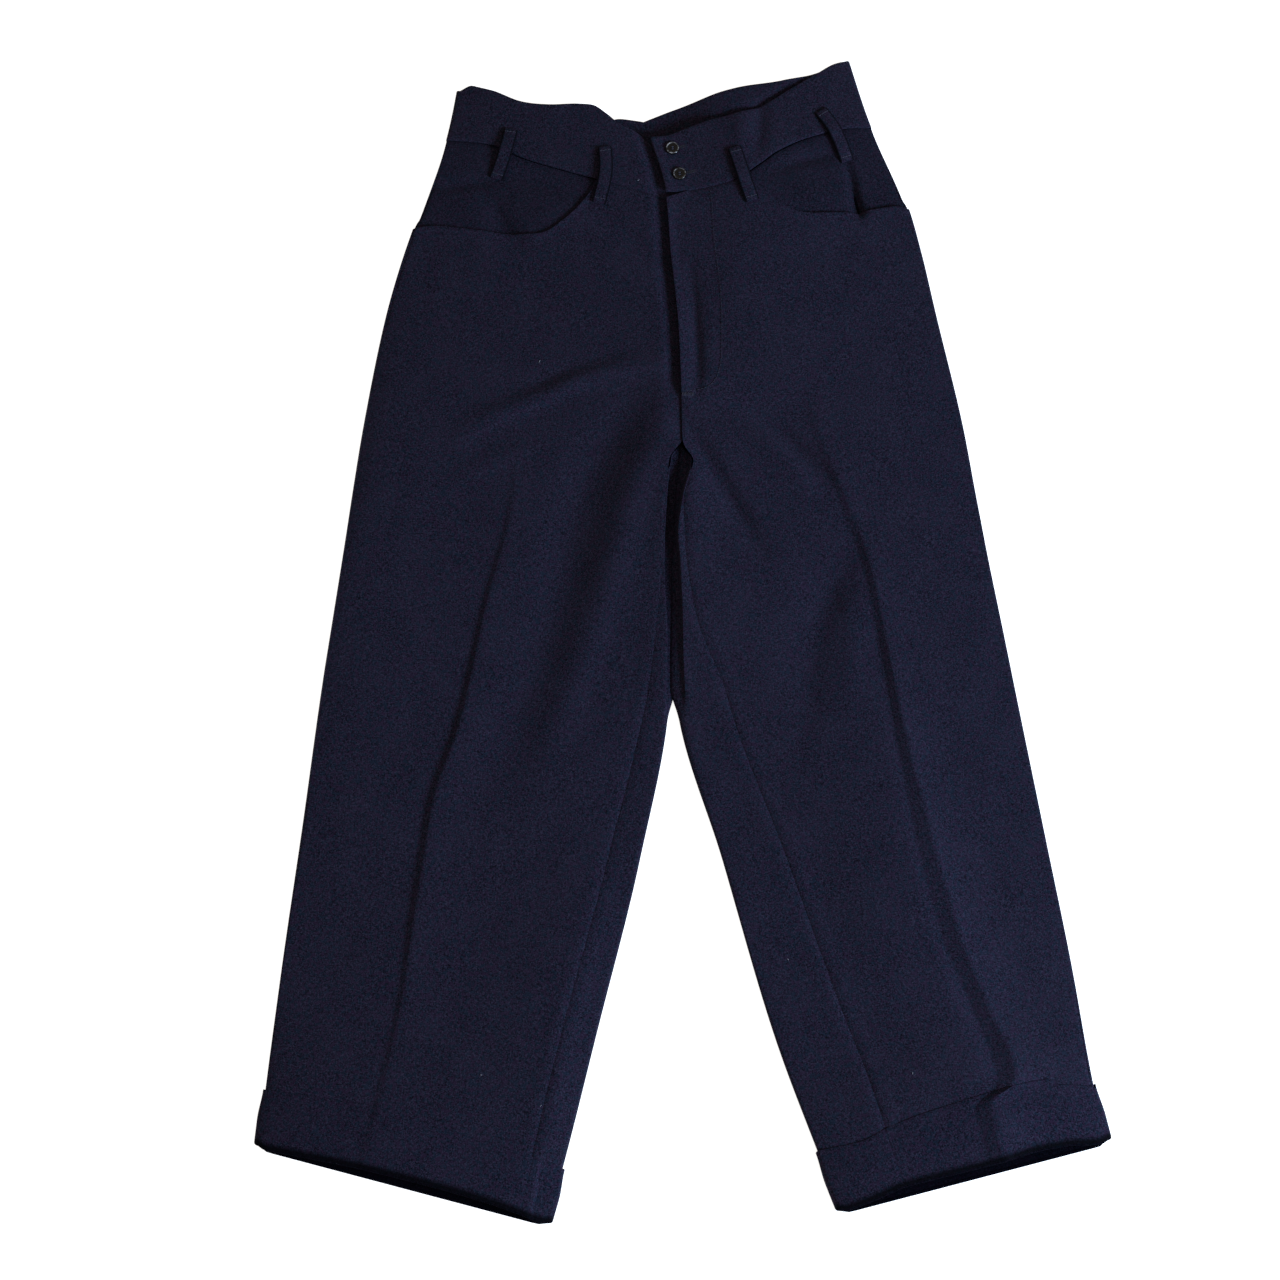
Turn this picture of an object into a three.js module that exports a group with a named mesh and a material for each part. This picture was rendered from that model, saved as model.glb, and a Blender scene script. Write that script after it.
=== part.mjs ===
// Cuffed wool slacks, fly fastened, lying flat on their back.
//
// X runs to the wearer's left, Y from the hems to the waist, Z up from the surface.
// Each half of the slacks is a flattened tube.  A point of it is given by
//   up    the height above the hem along the leg, and
//   turn  the place around the girth: 0 outseam, 0..1 over the outer fold, 1..2 the upper wall,
//         2..3..4 around the inner fold, 4..5 the lower wall, 5..6 back up the outer fold.

import * as THREE from 'three';

// ---- driving sizes, millimetres ----
const CLOTH = 1.2; // one layer of wool
const BAND = 2.5; // waistband: two layers and an interlining
const CUFF = 2.4; // turned-up cloth outside the leg
const GAP = 0.3; // between neighbouring pieces
const LAP = CLOTH + GAP; // one layer lying on another, middle to middle
const CUFF_SPREAD = 1.4; // how far the cuff's own folds stand off sideways
const CUFF_LIP = 2.7; // height of the turned edge below the leg's cut end
const LEG_FOOT = CUFF_LIP + 2 * GAP; // height of that cut end
const CREASE_BACK = 45; // gentle side of a pressed crease
const FLY_UNDERLAP = 12; // right front under the left
const FLY_SINK = LAP + 0.6; // right front's edge below the left
const FLY_EASE = 14; // length of leg over which the right front sinks, and again slides under
const SINK_FROM = 9; // the right front sinks from this far off the centre line
const SINK_TO = 3; // and is fully sunk here
const BAND_UNDERLAP = 30; // right band end under the left
const BAND_SINK = BAND + GAP + 0.7; // right band end below the left
const BAND_WIDTH = 185; // half the waist, for setting out the band's ends
const FLY_END = 696; // height where the fly closes into the crotch seam
const FORK = 655; // height where the four panels meet
const FORK_EASE = 20; // length of leg below the fork over which the fronts come together
const FACING_FOOT = 845; // lower edge of the pocket facings, inside
const FACING_CORNER = 866; // below this height the facing lies inside a whole outer fold
const FACING_INSET = 0.2; // least distance of the facing inside that fold
const FACING_EDGE = 2.4; // the facing's own outer edge, in seam gaps from the outseam
const CENTRE = new THREE.Vector2(0.5, -1.4); // middle of the outline

const LOOP = { width: 13, thick: 1.8, arch: 2.2, steps: 6 };
const LOOP_STEP = { from: 9, to: 1 }; // below the waist seam, where a loop climbs onto the band
const BACK_LOOP = { width: 13, thick: 1.6, long: 76, place: 0.35 };
const BUTTON = { radius: 6.6, thick: 2.6, rim: 1.3, dish: 0.7, foot: 1.2, belly: 0.45, round: 0.4, slope: 0.9, steps: 20 };

// ---- tables; every row follows the named columns ----
const COLUMNS = ['up', 'outX', 'outY', 'inX', 'inY', 'base', 'foldOut', 'foldIn', 'roundIn', 'loft'];
const RIGHT_STATIONS = [
  [0, -357.5, -490, -114, -553, 2.7, 4.5, 4.5, 2.3, 8.5],
  [48, -353.5, -439, -100.5, -504, 2.7, 4.5, 4.5, 2.3, 7],
  [150, -345.5, -342, -73, -392, 0, 3.6, 3.6, 2, 2.5],
  [290, -332, -207, -36, -240, 0, 3.6, 4, 2.2, 0.8],
  [420, -319.5, -75, -10, -96, 0, 3.6, 7, 5, 0.8],
  [470, -313.5, -22, -7.7, -42, 0, 3.6, 8.5, 6, 0.8],
  [540, -305, 53, -6.8, 33, 0, 3.6, 10.5, 7, 0.8],
  [600, -298.5, 113, -3.2, 97, 0, 3.7, 12, 8, 0.8],
  [635, -294.5, 148, -0.2, 135, 0, 3.8, 12, 7, 0.8],
  [655, -292, 168, 2, 156, 0, 3.8, 11.5, 0.8, 0.8],
  [760, -275, 278, 0, 263, 0, 4.6, 8.5, 0.8, 0.8],
  [820, -262, 335, -4.2, 314, 0, 5.2, 8, 0.8, 1.1],
  [860, -251, 373, -7.5, 348, 1.2, 5.5, 8, 0.8, 1.5],
  [935, -221, 468, -12, 408, 2.7, 5.5, 9, 0.8, 2.5],
  [990, -212.5, 520, -26.5, 463, 2.7, 5.5, 10, 0.8, 4],
  [1040, -207, 567, -40, 513, 2.7, 5.5, 10, 0.8, 4.5],
];
const LEFT_STATIONS = [
  [0, 358.5, -485.5, 133, -543, 2.7, 4.5, 4.5, 2.3, 8.5],
  [48, 348.5, -434, 114, -493, 2.7, 4.5, 4.5, 2.3, 7],
  [150, 337.5, -342, 79, -394, 0, 3.6, 3.6, 2, 2.5],
  [290, 319, -217, 36, -240, 0, 3.6, 4, 2.2, 0.8],
  [420, 299.5, -87, -3.5, -96, 0, 3.6, 7, 6, 0.8],
  [470, 291.5, -33, -6.9, -42, 0, 3.6, 8.5, 7, 0.8],
  [540, 280, 43, -6.2, 33, 0, 3.6, 10.5, 8, 0.8],
  [600, 271, 108, -2.6, 97, 0, 3.7, 12, 12, 0.8],
  [635, 266, 146, 0.4, 135, 0, 3.8, 12, 10, 0.8],
  [655, 263, 168, 2.6, 156, 0, 3.8, 11.5, 0.8, 0.8],
  [760, 242, 283, 0, 263, 0, 4.6, 8.5, 0.8, 0.8],
  [820, 230.5, 347, -4.2, 314, 0, 5.2, 8, 0.8, 1.1],
  [860, 220, 393, -7.5, 348, 1.2, 5.5, 8, 0.8, 1.5],
  [935, 185, 482, -12, 408, 2.7, 5.5, 9, 0.8, 2.5],
  [990, 166.5, 551, -26.5, 463, 2.7, 5.5, 10, 0.8, 4],
  [1040, 151, 614, -40, 513, 2.7, 5.5, 10, 0.8, 4.5],
];

// [up, share of the width from the outer fold]
const RIGHT_INSEAM = [[0, 0.9], [100, 0.893], [250, 0.903], [380, 0.921], [430, 0.938], [540, 0.97], [655, 0.99]];
const LEFT_INSEAM = [[0, 0.755], [90, 0.752], [173, 0.771], [290, 0.807], [380, 0.833], [430, 0.855], [491, 0.925],
  [561, 0.965], [655, 0.99]];

// [up, share of the width, ridge height, width of the steep side]
const RIGHT_CREASE = [[0, 0.367, 1.5, 9], [64, 0.38, 2, 9], [141, 0.391, 2.6, 9], [229, 0.378, 3, 9],
  [312, 0.373, 3, 9], [390, 0.412, 3, 9], [487, 0.447, 2.6, 9], [587, 0.499, 1.4, 10], [660, 0.5, 0, 10],
  [1040, 0.5, 0, 10]];
const LEFT_CREASE = [[0, 0.25, 0.8, 10], [40, 0.26, 1.6, 10], [75, 0.272, 3.4, 10], [135, 0.302, 5, 16],
  [209, 0.34, 5.4, 19], [292, 0.352, 5, 17], [400, 0.35, 3.6, 12], [526, 0.372, 2.6, 10], [598, 0.438, 2, 10],
  [670, 0.52, 1, 10], [720, 0.52, 0, 10], [1040, 0.5, 0, 10]];

// [share of the width, height]
const RIGHT_HEM = [[0, 0], [0.19, 8.5], [0.37, 12], [0.62, 13], [0.79, 10], [1, 0]];
const LEFT_HEM = [[0, 0], [0.15, 10.5], [0.27, 12], [0.4, 11], [0.55, 13], [0.74, 13.5], [0.86, 6], [1, 0]];
const RIGHT_CUFF_TOP = [[0, 47], [0.21, 52], [0.375, 56], [0.55, 53], [0.85, 49], [1, 45]];
const LEFT_CUFF_TOP = [[0, 44], [0.1, 51], [0.26, 60], [0.36, 61], [0.63, 57], [0.75, 53], [0.85, 48], [1, 50]];
const BACK_CUFF_TOP = [[0, 47], [0.5, 50], [1, 47]];
const RIGHT_POCKET = [[0, 858], [0.1, 862], [0.34, 861], [0.44, 862], [0.49, 864], [0.525, 868], [0.563, 877],
  [0.602, 889], [0.637, 903], [0.671, 916], [0.69, 928.5], [1, 928.5]];
const LEFT_POCKET = [[0, 859], [0.07, 863], [0.2, 863], [0.327, 867], [0.43, 871], [0.489, 879], [0.516, 886],
  [0.543, 893], [0.575, 905], [0.599, 917], [0.618, 926], [1, 926]];
const RIGHT_WAIST_SEAM = [[0, 932], [0.2, 937], [0.35, 932], [0.64, 929], [0.81, 928], [1, 926]];
const LEFT_WAIST_SEAM = [[0, 932], [0.11, 937], [0.3, 939], [0.44, 936], [0.55, 929], [0.69, 921], [0.87, 925],
  [1, 932]];
const BACK_WAIST_SEAM = [[0, 932], [0.5, 938], [1, 945]];
const RIGHT_BAND_TOP = [[0, 988], [0.06, 997], [0.155, 997], [0.31, 993], [0.46, 997], [0.63, 1008], [0.71, 1011],
  [0.78, 1005], [0.84, 997], [0.93, 993], [1, 984]];
const LEFT_BAND_TOP = [[0, 990], [0.06, 991], [0.15, 988.5], [0.29, 984], [0.47, 979], [0.59, 981], [0.73, 985], [0.9, 986],
  [1, 990]];
const RIGHT_BACK_BAND_TOP = [[0, 988], [0.4, 990], [0.7, 998], [0.8, 1005], [0.87, 1013], [1, 1019]];
const LEFT_BACK_BAND_TOP = [[0, 990], [0.15, 990], [0.32, 994], [0.54, 1004], [0.73, 1010], [0.87, 1017], [1, 1019]];

// [up, how far the side seam above the pocket corner sits in]
const SIDE_STEP = [[845, 0], [862, 1.5], [868, 3.1], [900, 1.8], [932, 0]];

// belt loops on the front: [share at top, up at top, share at foot, up at foot]
const RIGHT_LOOPS = { side: [0.286, 962, 0.258, 905], front: [0.742, 969, 0.706, 901] };
const LEFT_LOOPS = { front: [0.646, 952, 0.628, 892], side: [0.205, 957, 0.166, 909] };
const BACK_LOOPS = [['belt_loop_back_right', 'right', 0.52], ['belt_loop_back_centre', 'right', 0.985],
  ['belt_loop_back_left', 'left', 0.52]];
const BUTTONS = [['button_upper', 0.917, 972], ['button_lower', 0.921, 946]];

// ---- reading the tables ----
function slopes(table, column) {
  const step = table.slice(1).map((row, i) => row[0] - table[i][0]);
  const rise = table.slice(1).map((row, i) => (row[column] - table[i][column]) / step[i]);
  return table.map((row, i) => {
    if (i === 0) return rise[0];
    if (i === rise.length) return rise[i - 1];
    if (rise[i - 1] * rise[i] <= 0) return 0;
    const before = 2 * step[i] + step[i - 1];
    const after = step[i] + 2 * step[i - 1];
    return (before + after) / (before / rise[i - 1] + after / rise[i]);
  });
}

const slopeStore = new Map();

function read(table, at, column = 1) {
  if (!slopeStore.has(table)) slopeStore.set(table, table[0].map((value, c) => slopes(table, c)));
  const slope = slopeStore.get(table)[column];
  let i = 0;
  while (i < table.length - 2 && at > table[i + 1][0]) i += 1;
  const width = table[i + 1][0] - table[i][0];
  const f = THREE.MathUtils.clamp((at - table[i][0]) / width, 0, 1);
  const [a, b] = [table[i][column], table[i + 1][column]];
  const blend = f * f * (3 - 2 * f);
  return a + (b - a) * blend + width * (slope[i] * f * (1 - f) ** 2 - slope[i + 1] * f * f * (1 - f));
}

const mix = THREE.MathUtils.lerp;

// ---- the two halves ----
const HALVES = {
  right: {
    sign: 1,
    stations: RIGHT_STATIONS,
    inseam: RIGHT_INSEAM,
    crease: RIGHT_CREASE,
    hem: RIGHT_HEM,
    cuffTop: RIGHT_CUFF_TOP,
    pocket: RIGHT_POCKET,
    waist: RIGHT_WAIST_SEAM,
    bandTop: RIGHT_BAND_TOP,
    backBandTop: RIGHT_BACK_BAND_TOP,
    frontShares: [0.12, 0.26, 0.4, 0.49, 0.525, 0.563, 0.602, 0.637, 0.671, 0.69, 0.78, 0.88],
    bandShares: [0.06, 0.155, 0.26, 0.37, 0.49, 0.602, 0.69, 0.78, 0.88],
  },
  left: {
    sign: -1,
    stations: LEFT_STATIONS,
    inseam: LEFT_INSEAM,
    crease: LEFT_CREASE,
    hem: LEFT_HEM,
    cuffTop: LEFT_CUFF_TOP,
    pocket: LEFT_POCKET,
    waist: LEFT_WAIST_SEAM,
    bandTop: LEFT_BAND_TOP,
    backBandTop: LEFT_BACK_BAND_TOP,
    frontShares: [0.1, 0.2, 0.33, 0.43, 0.489, 0.516, 0.543, 0.575, 0.599, 0.618, 0.7, 0.82],
    bandShares: [0.1, 0.2, 0.29, 0.38, 0.47, 0.543, 0.618, 0.7, 0.82],
  },
};

// powers of the upper wall's rounding: near the inner fold, over its middle, down the crease's gentle side
const ROUNDING = { fold: 5, loft: 0.75, crease: 1.5 };

function station(half, up) {
  const row = {};
  COLUMNS.forEach((name, c) => {
    row[name] = c === 0 ? up : read(half.stations, up, c);
  });
  row.width = Math.hypot(row.inX - row.outX, row.inY - row.outY);
  row.low = row.base + CLOTH / 2;
  row.wallFrom = CLOTH / 2 + row.foldOut / 2;
  row.wallTo = row.width - CLOTH / 2 - row.roundIn;
  return row;
}

// turn of a point on the upper wall, given its share of the width
function turnAt(half, up, share, shift = 0) {
  const row = station(half, up);
  const across = share * row.width + shift;
  return 1 + (across - row.wallFrom) / (row.wallTo - row.wallFrom);
}

function creaseRidge(half, up, across) {
  const height = read(half.crease, up, 2);
  const steep = read(half.crease, up, 3);
  const offset = half.sign * (across - read(half.crease, up) * station(half, up).width);
  if (offset < 0) return height * Math.max(0, 1 + offset / steep);
  return height * Math.max(0, 1 - offset / CREASE_BACK) ** ROUNDING.crease;
}

// middle of the wall in the section plane: [across, z]
function wallMiddle(half, up, turn, inset) {
  const row = station(half, up);
  const from = row.wallFrom + inset;
  const to = row.wallTo;
  const quarter = (Math.PI / 2) * (turn - Math.floor(turn));
  if (turn < 1) {
    return [from - (row.foldOut / 2) * Math.cos(quarter), row.low + (row.foldOut / 2) * (1 + Math.sin(quarter))];
  }
  if (turn <= 2) {
    const f = turn - 1;
    const across = mix(from, to, f);
    const bow = row.loft * (4 * f * (1 - f)) ** ROUNDING.loft;
    const gap = mix(row.foldOut, row.foldIn, f ** ROUNDING.fold) + bow;
    return [across, row.low + gap + creaseRidge(half, up, across)];
  }
  if (turn < 3) {
    return [to + row.roundIn * Math.sin(quarter), row.low + (row.foldIn / 2) * (1 + Math.cos(quarter))];
  }
  if (turn < 4) {
    return [to + row.roundIn * Math.cos(quarter), row.low + (row.foldIn / 2) * (1 - Math.sin(quarter))];
  }
  if (turn <= 5) {
    return [mix(to, from, turn - 4), row.low];
  }
  return [from - (row.foldOut / 2) * Math.sin(quarter), row.low + (row.foldOut / 2) * (1 - Math.cos(quarter))];
}

// A point of the tube.  out: off the middle of the wall; slide: further along the row; drop: lower;
// inset: outer fold moved in; spread: both folds moved out sideways.
function spot(half, up, turn, { out = 0, slide = 0, drop = 0, inset = 0, spread = 0 } = {}) {
  const row = station(half, up);
  const step = 0.004;
  const before = wallMiddle(half, up, Math.max(0, turn - step), inset);
  const after = wallMiddle(half, up, Math.min(6, turn + step), inset);
  const [across, z] = wallMiddle(half, up, turn, inset);
  const length = Math.hypot(after[0] - before[0], after[1] - before[1]);
  const normal = [-(after[1] - before[1]) / length, (after[0] - before[0]) / length];
  const share = across / row.width;
  const place = across + out * normal[0] + slide + spread * (2 * share - 1);
  const along = [(row.inX - row.outX) / row.width, (row.inY - row.outY) / row.width];
  return new THREE.Vector3(
    row.outX + along[0] * place - CENTRE.x,
    row.outY + along[1] * place - CENTRE.y,
    z + out * normal[1] - drop,
  );
}

// ---- closed walls ----
// outer and inner are grids of points, rows of equal length, running the same way
function wall(outer, inner) {
  const rows = outer.length;
  const columns = outer[0].length;
  const points = [...outer.flat(), ...inner.flat()];
  const faces = [];
  const at = (skin, r, c) => skin * rows * columns + r * columns + c;
  const quad = (a, b, c, d) => {
    faces.push(a, b, c, a, c, d);
  };
  for (let r = 0; r < rows - 1; r += 1) {
    for (let c = 0; c < columns - 1; c += 1) {
      quad(at(0, r, c), at(0, r, c + 1), at(0, r + 1, c + 1), at(0, r + 1, c));
      quad(at(1, r, c), at(1, r + 1, c), at(1, r + 1, c + 1), at(1, r, c + 1));
    }
    quad(at(0, r, 0), at(0, r + 1, 0), at(1, r + 1, 0), at(1, r, 0));
    quad(at(0, r, columns - 1), at(1, r, columns - 1), at(1, r + 1, columns - 1), at(0, r + 1, columns - 1));
  }
  for (let c = 0; c < columns - 1; c += 1) {
    quad(at(0, 0, c), at(1, 0, c), at(1, 0, c + 1), at(0, 0, c + 1));
    quad(at(0, rows - 1, c), at(0, rows - 1, c + 1), at(1, rows - 1, c + 1), at(1, rows - 1, c));
  }
  const geometry = new THREE.BufferGeometry();
  geometry.setAttribute('position', new THREE.Float32BufferAttribute(points.flatMap((p) => p.toArray()), 3));
  geometry.setIndex(faces);
  if (signedVolume(points, faces) < 0) {
    const flipped = [];
    for (let i = 0; i < faces.length; i += 3) flipped.push(faces[i], faces[i + 2], faces[i + 1]);
    geometry.setIndex(flipped);
  }
  return geometry;
}

function signedVolume(points, faces) {
  let total = 0;
  const cross = new THREE.Vector3();
  for (let i = 0; i < faces.length; i += 3) {
    cross.crossVectors(points[faces[i + 1]], points[faces[i + 2]]);
    total += points[faces[i]].dot(cross);
  }
  return total;
}

// a wall of one thickness; place(r, c) gives [half, up, turn, options] on its middle
function sheet(rows, columns, thick, place) {
  const skin = (side) => Array.from({ length: rows }, (_, r) => Array.from({ length: columns }, (__, c) => {
    const [half, up, turn, options] = place(r, c);
    return spot(half, up, turn, { ...options, out: (options?.out ?? 0) + (side * thick) / 2 });
  }));
  return wall(skin(1), skin(-1));
}

// turn just above or below the outseam, so the two edges stay a gap apart
function seamTurn(half, up) {
  return Math.asin(GAP / station(half, up).foldOut) / (Math.PI / 2);
}

// ---- panels ----
const TORSO_TO = 760; // the legs' columns have become the torso's here
const LEG_LEVELS = [32, 62, 100, 150, 215, 290, 355, 420, 480, 540, 600, FORK - FORK_EASE, FORK, 672,
  FLY_END, FLY_END + FLY_EASE, FLY_END + 2 * FLY_EASE, TORSO_TO];
const TOP_STEPS = 5;
const NOMINAL = { foot: 3, front: 928, back: 938 }; // heights that set out the columns
const CENTRE_COLUMNS = [9, 3, GAP / 2]; // last columns, from the centre line

// a panel's height at row r: its cut end, the shared levels, then even steps to its own top edge
function panelHeight(r, foot, top) {
  if (r === 0) return foot;
  if (r <= LEG_LEVELS.length) return LEG_LEVELS[r - 1];
  const last = LEG_LEVELS[LEG_LEVELS.length - 1];
  return mix(last, top, (r - LEG_LEVELS.length) / TOP_STEPS);
}

const PANEL_ROWS = 1 + LEG_LEVELS.length + TOP_STEPS;

// the inseam's share of the width, kept on the upper wall
function inseamShare(half, up) {
  const { width, wallTo } = station(half, up);
  return Math.min(read(half.inseam, up), (wallTo - 1) / width);
}

// shares across a leg's front: to the crease, over it, and evenly on to the inseam
function legShares(half, up, steps) {
  const { width } = station(half, up);
  const crease = read(half.crease, up);
  const steep = read(half.crease, up, 3) / width;
  const end = inseamShare(half, up) - GAP / 2 / width;
  const rightShares = [0.35, 0.7, 1].map((f) => f * (crease - steep)).concat(crease, crease + CREASE_BACK / width);
  const leftShares = [0.2, 0.45, 0.72, 1].map((f) => f * crease).concat(crease + steep);
  const shares = half.sign > 0 ? rightShares : leftShares;
  for (let k = 1; k <= steps; k += 1) shares.push(mix(shares[4], end, k / steps));
  return shares;
}

function frontShares(half, up) {
  const { width } = station(half, up);
  const torso = [...half.frontShares, ...CENTRE_COLUMNS.map((off) => 1 - off / width)];
  const legs = legShares(half, Math.min(up, FORK - FORK_EASE), torso.length - 5);
  const f = THREE.MathUtils.smoothstep(up, FORK - FORK_EASE, TORSO_TO);
  const shares = legs.map((share, k) => mix(share, torso[k], f));
  if (up > FORK - 1) shares[shares.length - 1] = 1 - GAP / 2 / width;
  return shares;
}

// the right front passes under the left along the fly
function underlap(half, up, fromCentre) {
  if (half.sign < 0) return {};
  const sunk = THREE.MathUtils.smoothstep(up, FLY_END, FLY_END + FLY_EASE);
  const under = THREE.MathUtils.smoothstep(up, FLY_END + FLY_EASE, FLY_END + 2 * FLY_EASE);
  const options = { drop: FLY_SINK * sunk * THREE.MathUtils.smoothstep(-fromCentre, -SINK_FROM, -SINK_TO) };
  if (fromCentre < GAP) options.slide = FLY_UNDERLAP * under;
  return options;
}

function frontPanel(half) {
  const columns = 3 + half.frontShares.length + CENTRE_COLUMNS.length;
  return sheet(PANEL_ROWS, columns, CLOTH, (r, c) => {
    const nominal = panelHeight(r, NOMINAL.foot, NOMINAL.front);
    if (c < 3) {
      const up = panelHeight(r, LEG_FOOT, read(half.pocket, 0) - GAP / 2);
      return [half, up, [seamTurn(half, up), 0.5, 1][c]];
    }
    const share = frontShares(half, nominal)[c - 3];
    const top = Math.min(read(half.pocket, share), read(half.waist, share)) - GAP / 2;
    const up = panelHeight(r, LEG_FOOT + read(half.hem, share), top);
    const shares = frontShares(half, r < LEG_LEVELS.length ? up : nominal);
    const { width, wallTo } = station(half, up);
    const across = shares[c - 3] * width;
    const options = underlap(half, up, width - across);
    const past = Math.max(0, across - wallTo);
    options.slide = (options.slide ?? 0) + past;
    return [half, up, turnAt(half, up, (across - past) / width), options];
  });
}

// where the back panel's row starts: on the inseam, over the crotch wall, or at the seat seam
const SEAT_START = [[FORK - FORK_EASE, 2.12], [FORK, 2.9], [663, 3.25], [672, 3.6], [684, 3.98]];
const SEAT_FLAT = 690; // from here up the two backs meet flat on the surface
const BACK_START = 7; // columns up to the lower wall
const FIRST_LOWER = 4.02; // turn of the last of them beside the crotch
const LEG_LOWER = [0.15, 0.32, 0.5, 0.68, 0.85];
const TORSO_LOWER = [0.5, 0.6, 0.7, 0.8, 0.9];
const SEAT_STEP = 0.07; // between the first columns of the flat seat

function backTurns(half, up) {
  const f = THREE.MathUtils.smoothstep(up, 600, TORSO_TO);
  const lower = LEG_LOWER.map((v, k) => 4 + mix(v, TORSO_LOWER[k], f));
  const end = [5, 5.5, 6 - seamTurn(half, up)];
  if (up < FORK - FORK_EASE - 1) {
    const start = turnAt(half, up, inseamShare(half, up), GAP / 2);
    return [start, mix(start, 2, 0.5), 2, 2.5, 3, 3.5, 4, ...lower, ...end];
  }
  const columns = Array.from({ length: BACK_START }, (_, k) => k);
  if (up < SEAT_FLAT) {
    const start = read(SEAT_START, up);
    return [...columns.map((k) => mix(start, FIRST_LOWER, k / (BACK_START - 1))), ...lower, ...end];
  }
  return [...columns.map((k) => 4 + k * SEAT_STEP), ...lower, ...end];
}

function shareOfTurn(half, up, turn) {
  if (turn <= 1 || turn >= 5) return 0;
  const { width } = station(half, up);
  return wallMiddle(half, up, turn, 0)[0] / width;
}

// the hem's rise and the cuff's height ease from the upper wall's line to the lower wall's
function hemAt(half, share, turn) {
  return turn < 3 ? read(half.hem, share) : 0;
}

function cuffTopAt(half, share, turn) {
  if (turn < 2) return read(half.cuffTop, share);
  return mix(read(half.cuffTop, 1), read(BACK_CUFF_TOP, share), THREE.MathUtils.smoothstep(turn, 2, 4));
}

function backPanel(half) {
  const columns = BACK_START + 5 + 3;
  return sheet(PANEL_ROWS, columns, CLOTH, (r, c) => {
    const nominal = panelHeight(r, NOMINAL.foot, NOMINAL.back);
    const turn = backTurns(half, nominal)[c];
    const share = shareOfTurn(half, nominal, turn);
    const top = read(BACK_WAIST_SEAM, share) - GAP / 2;
    const up = panelHeight(r, LEG_FOOT + hemAt(half, share, turn), top);
    const options = { inset: read(SIDE_STEP, up) };
    if (c === 0 && nominal > SEAT_FLAT) {
      const { width, wallTo } = station(half, up);
      options.slide = width - GAP / 2 - wallTo;
    }
    return [half, up, backTurns(half, r < LEG_LEVELS.length ? up : nominal)[c], options];
  });
}

// ---- pocket facings: the cloth seen through the pocket mouths ----
function pocketFacing(half) {
  const inner = half.bandShares.slice(0, 8);
  const steps = [0, 0.22, 0.48, 0.74, 1];
  return sheet(steps.length, 3 + inner.length, CLOTH, (r, c) => {
    const share = c < 3 ? 0 : inner[c - 3];
    const up = mix(FACING_FOOT, read(half.waist, share) - GAP, steps[r]);
    const step = read(SIDE_STEP, up) - LAP;
    const inset = up < FACING_CORNER ? Math.max(FACING_INSET, step) : step;
    const turn = c < 3 ? [seamTurn(half, up) * FACING_EDGE, 0.6, 1][c] : turnAt(half, up, share);
    return [half, up, turn, { out: -LAP, inset: inset * (1 - share) }];
  });
}

// ---- waistband ----
function frontBand(half) {
  const shares = half.bandShares;
  const steps = [0, 0.5, 1];
  // the last columns: [from the centre, drop, reach]
  const rightEnds = [[12, 0, 0], [3.4, BAND_SINK, 0], [3.4, BAND_SINK, BAND_UNDERLAP]];
  const leftEnds = [[9, 0, 0], [4, 0, 0], [GAP / 2, 0, 0]];
  const ends = half.sign > 0 ? rightEnds : leftEnds;
  return sheet(steps.length, 3 + shares.length + ends.length, BAND, (r, c) => {
    const last = c - 3 - shares.length;
    const share = c < 3 ? 0 : shares[c - 3] ?? 1 - ends[last][0] / BAND_WIDTH;
    const up = mix(read(half.waist, share) + GAP / 2, read(half.bandTop, share), steps[r]);
    if (c < 3) return [half, up, [seamTurn(half, up), 0.5, 1][c]];
    if (last < 0) return [half, up, turnAt(half, up, share)];
    const { width, wallTo } = station(half, up);
    const [fromCentre, drop, reach] = ends[last];
    const across = width - fromCentre;
    const past = Math.max(0, across - wallTo);
    return [half, up, turnAt(half, up, (across - past) / width), { slide: past + reach, drop }];
  });
}

function backBand(half) {
  const lower = [0, 0.15, 0.3, 0.45, 0.6, 0.75, 0.9, 1];
  const steps = [0, 0.5, 1];
  return sheet(steps.length, lower.length + 2, BAND, (r, c) => {
    const share = c < lower.length ? 1 - lower[c] : 0;
    const up = mix(read(BACK_WAIST_SEAM, share) + GAP / 2, read(half.backBandTop, share), steps[r]);
    if (c >= lower.length) return [half, up, [5.5, 6 - seamTurn(half, up)][c - lower.length]];
    const { width, wallTo } = station(half, up);
    return [half, up, 4 + lower[c], { slide: c === 0 ? width - GAP / 2 - wallTo : 0 }];
  });
}

// ---- cuffs: turned up outside the leg, closed below its cut end by the turned edge ----
const CUFF_COLUMNS = 20; // height that sets out the cuff's columns

function cuff(half, turns) {
  const outside = CLOTH / 2 + GAP + CUFF;
  const inside = CLOTH / 2 + GAP;
  const place = (r, c, out) => {
    const turn = turns(r)[c];
    const share = shareOfTurn(half, CUFF_COLUMNS, turn);
    const hem = hemAt(half, share, turn);
    const top = cuffTopAt(half, share, turn);
    const height = [hem, hem + CUFF_LIP, hem + LEG_FOOT, mix(hem, top, 0.5), top][r];
    return spot(half, height, turns(height)[c], { out, spread: CUFF_SPREAD });
  };
  const grid = (outs) => outs.map((out, r) => turns(0).map((_, c) => place(r, c, out)));
  const outer = grid([outside, outside, outside, outside, outside]);
  const inner = grid([-CLOTH / 2, -CLOTH / 2, inside, inside, inside]);
  inner[2] = inner[2].map((p, c) => p.copy(place(1, c, inside)));
  return wall(outer, inner);
}

function frontCuff(half) {
  return cuff(half, (up) => [
    seamTurn(half, up),
    0.5,
    1,
    ...legShares(half, up, 5).map((share) => turnAt(half, up, share)),
  ]);
}

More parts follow.
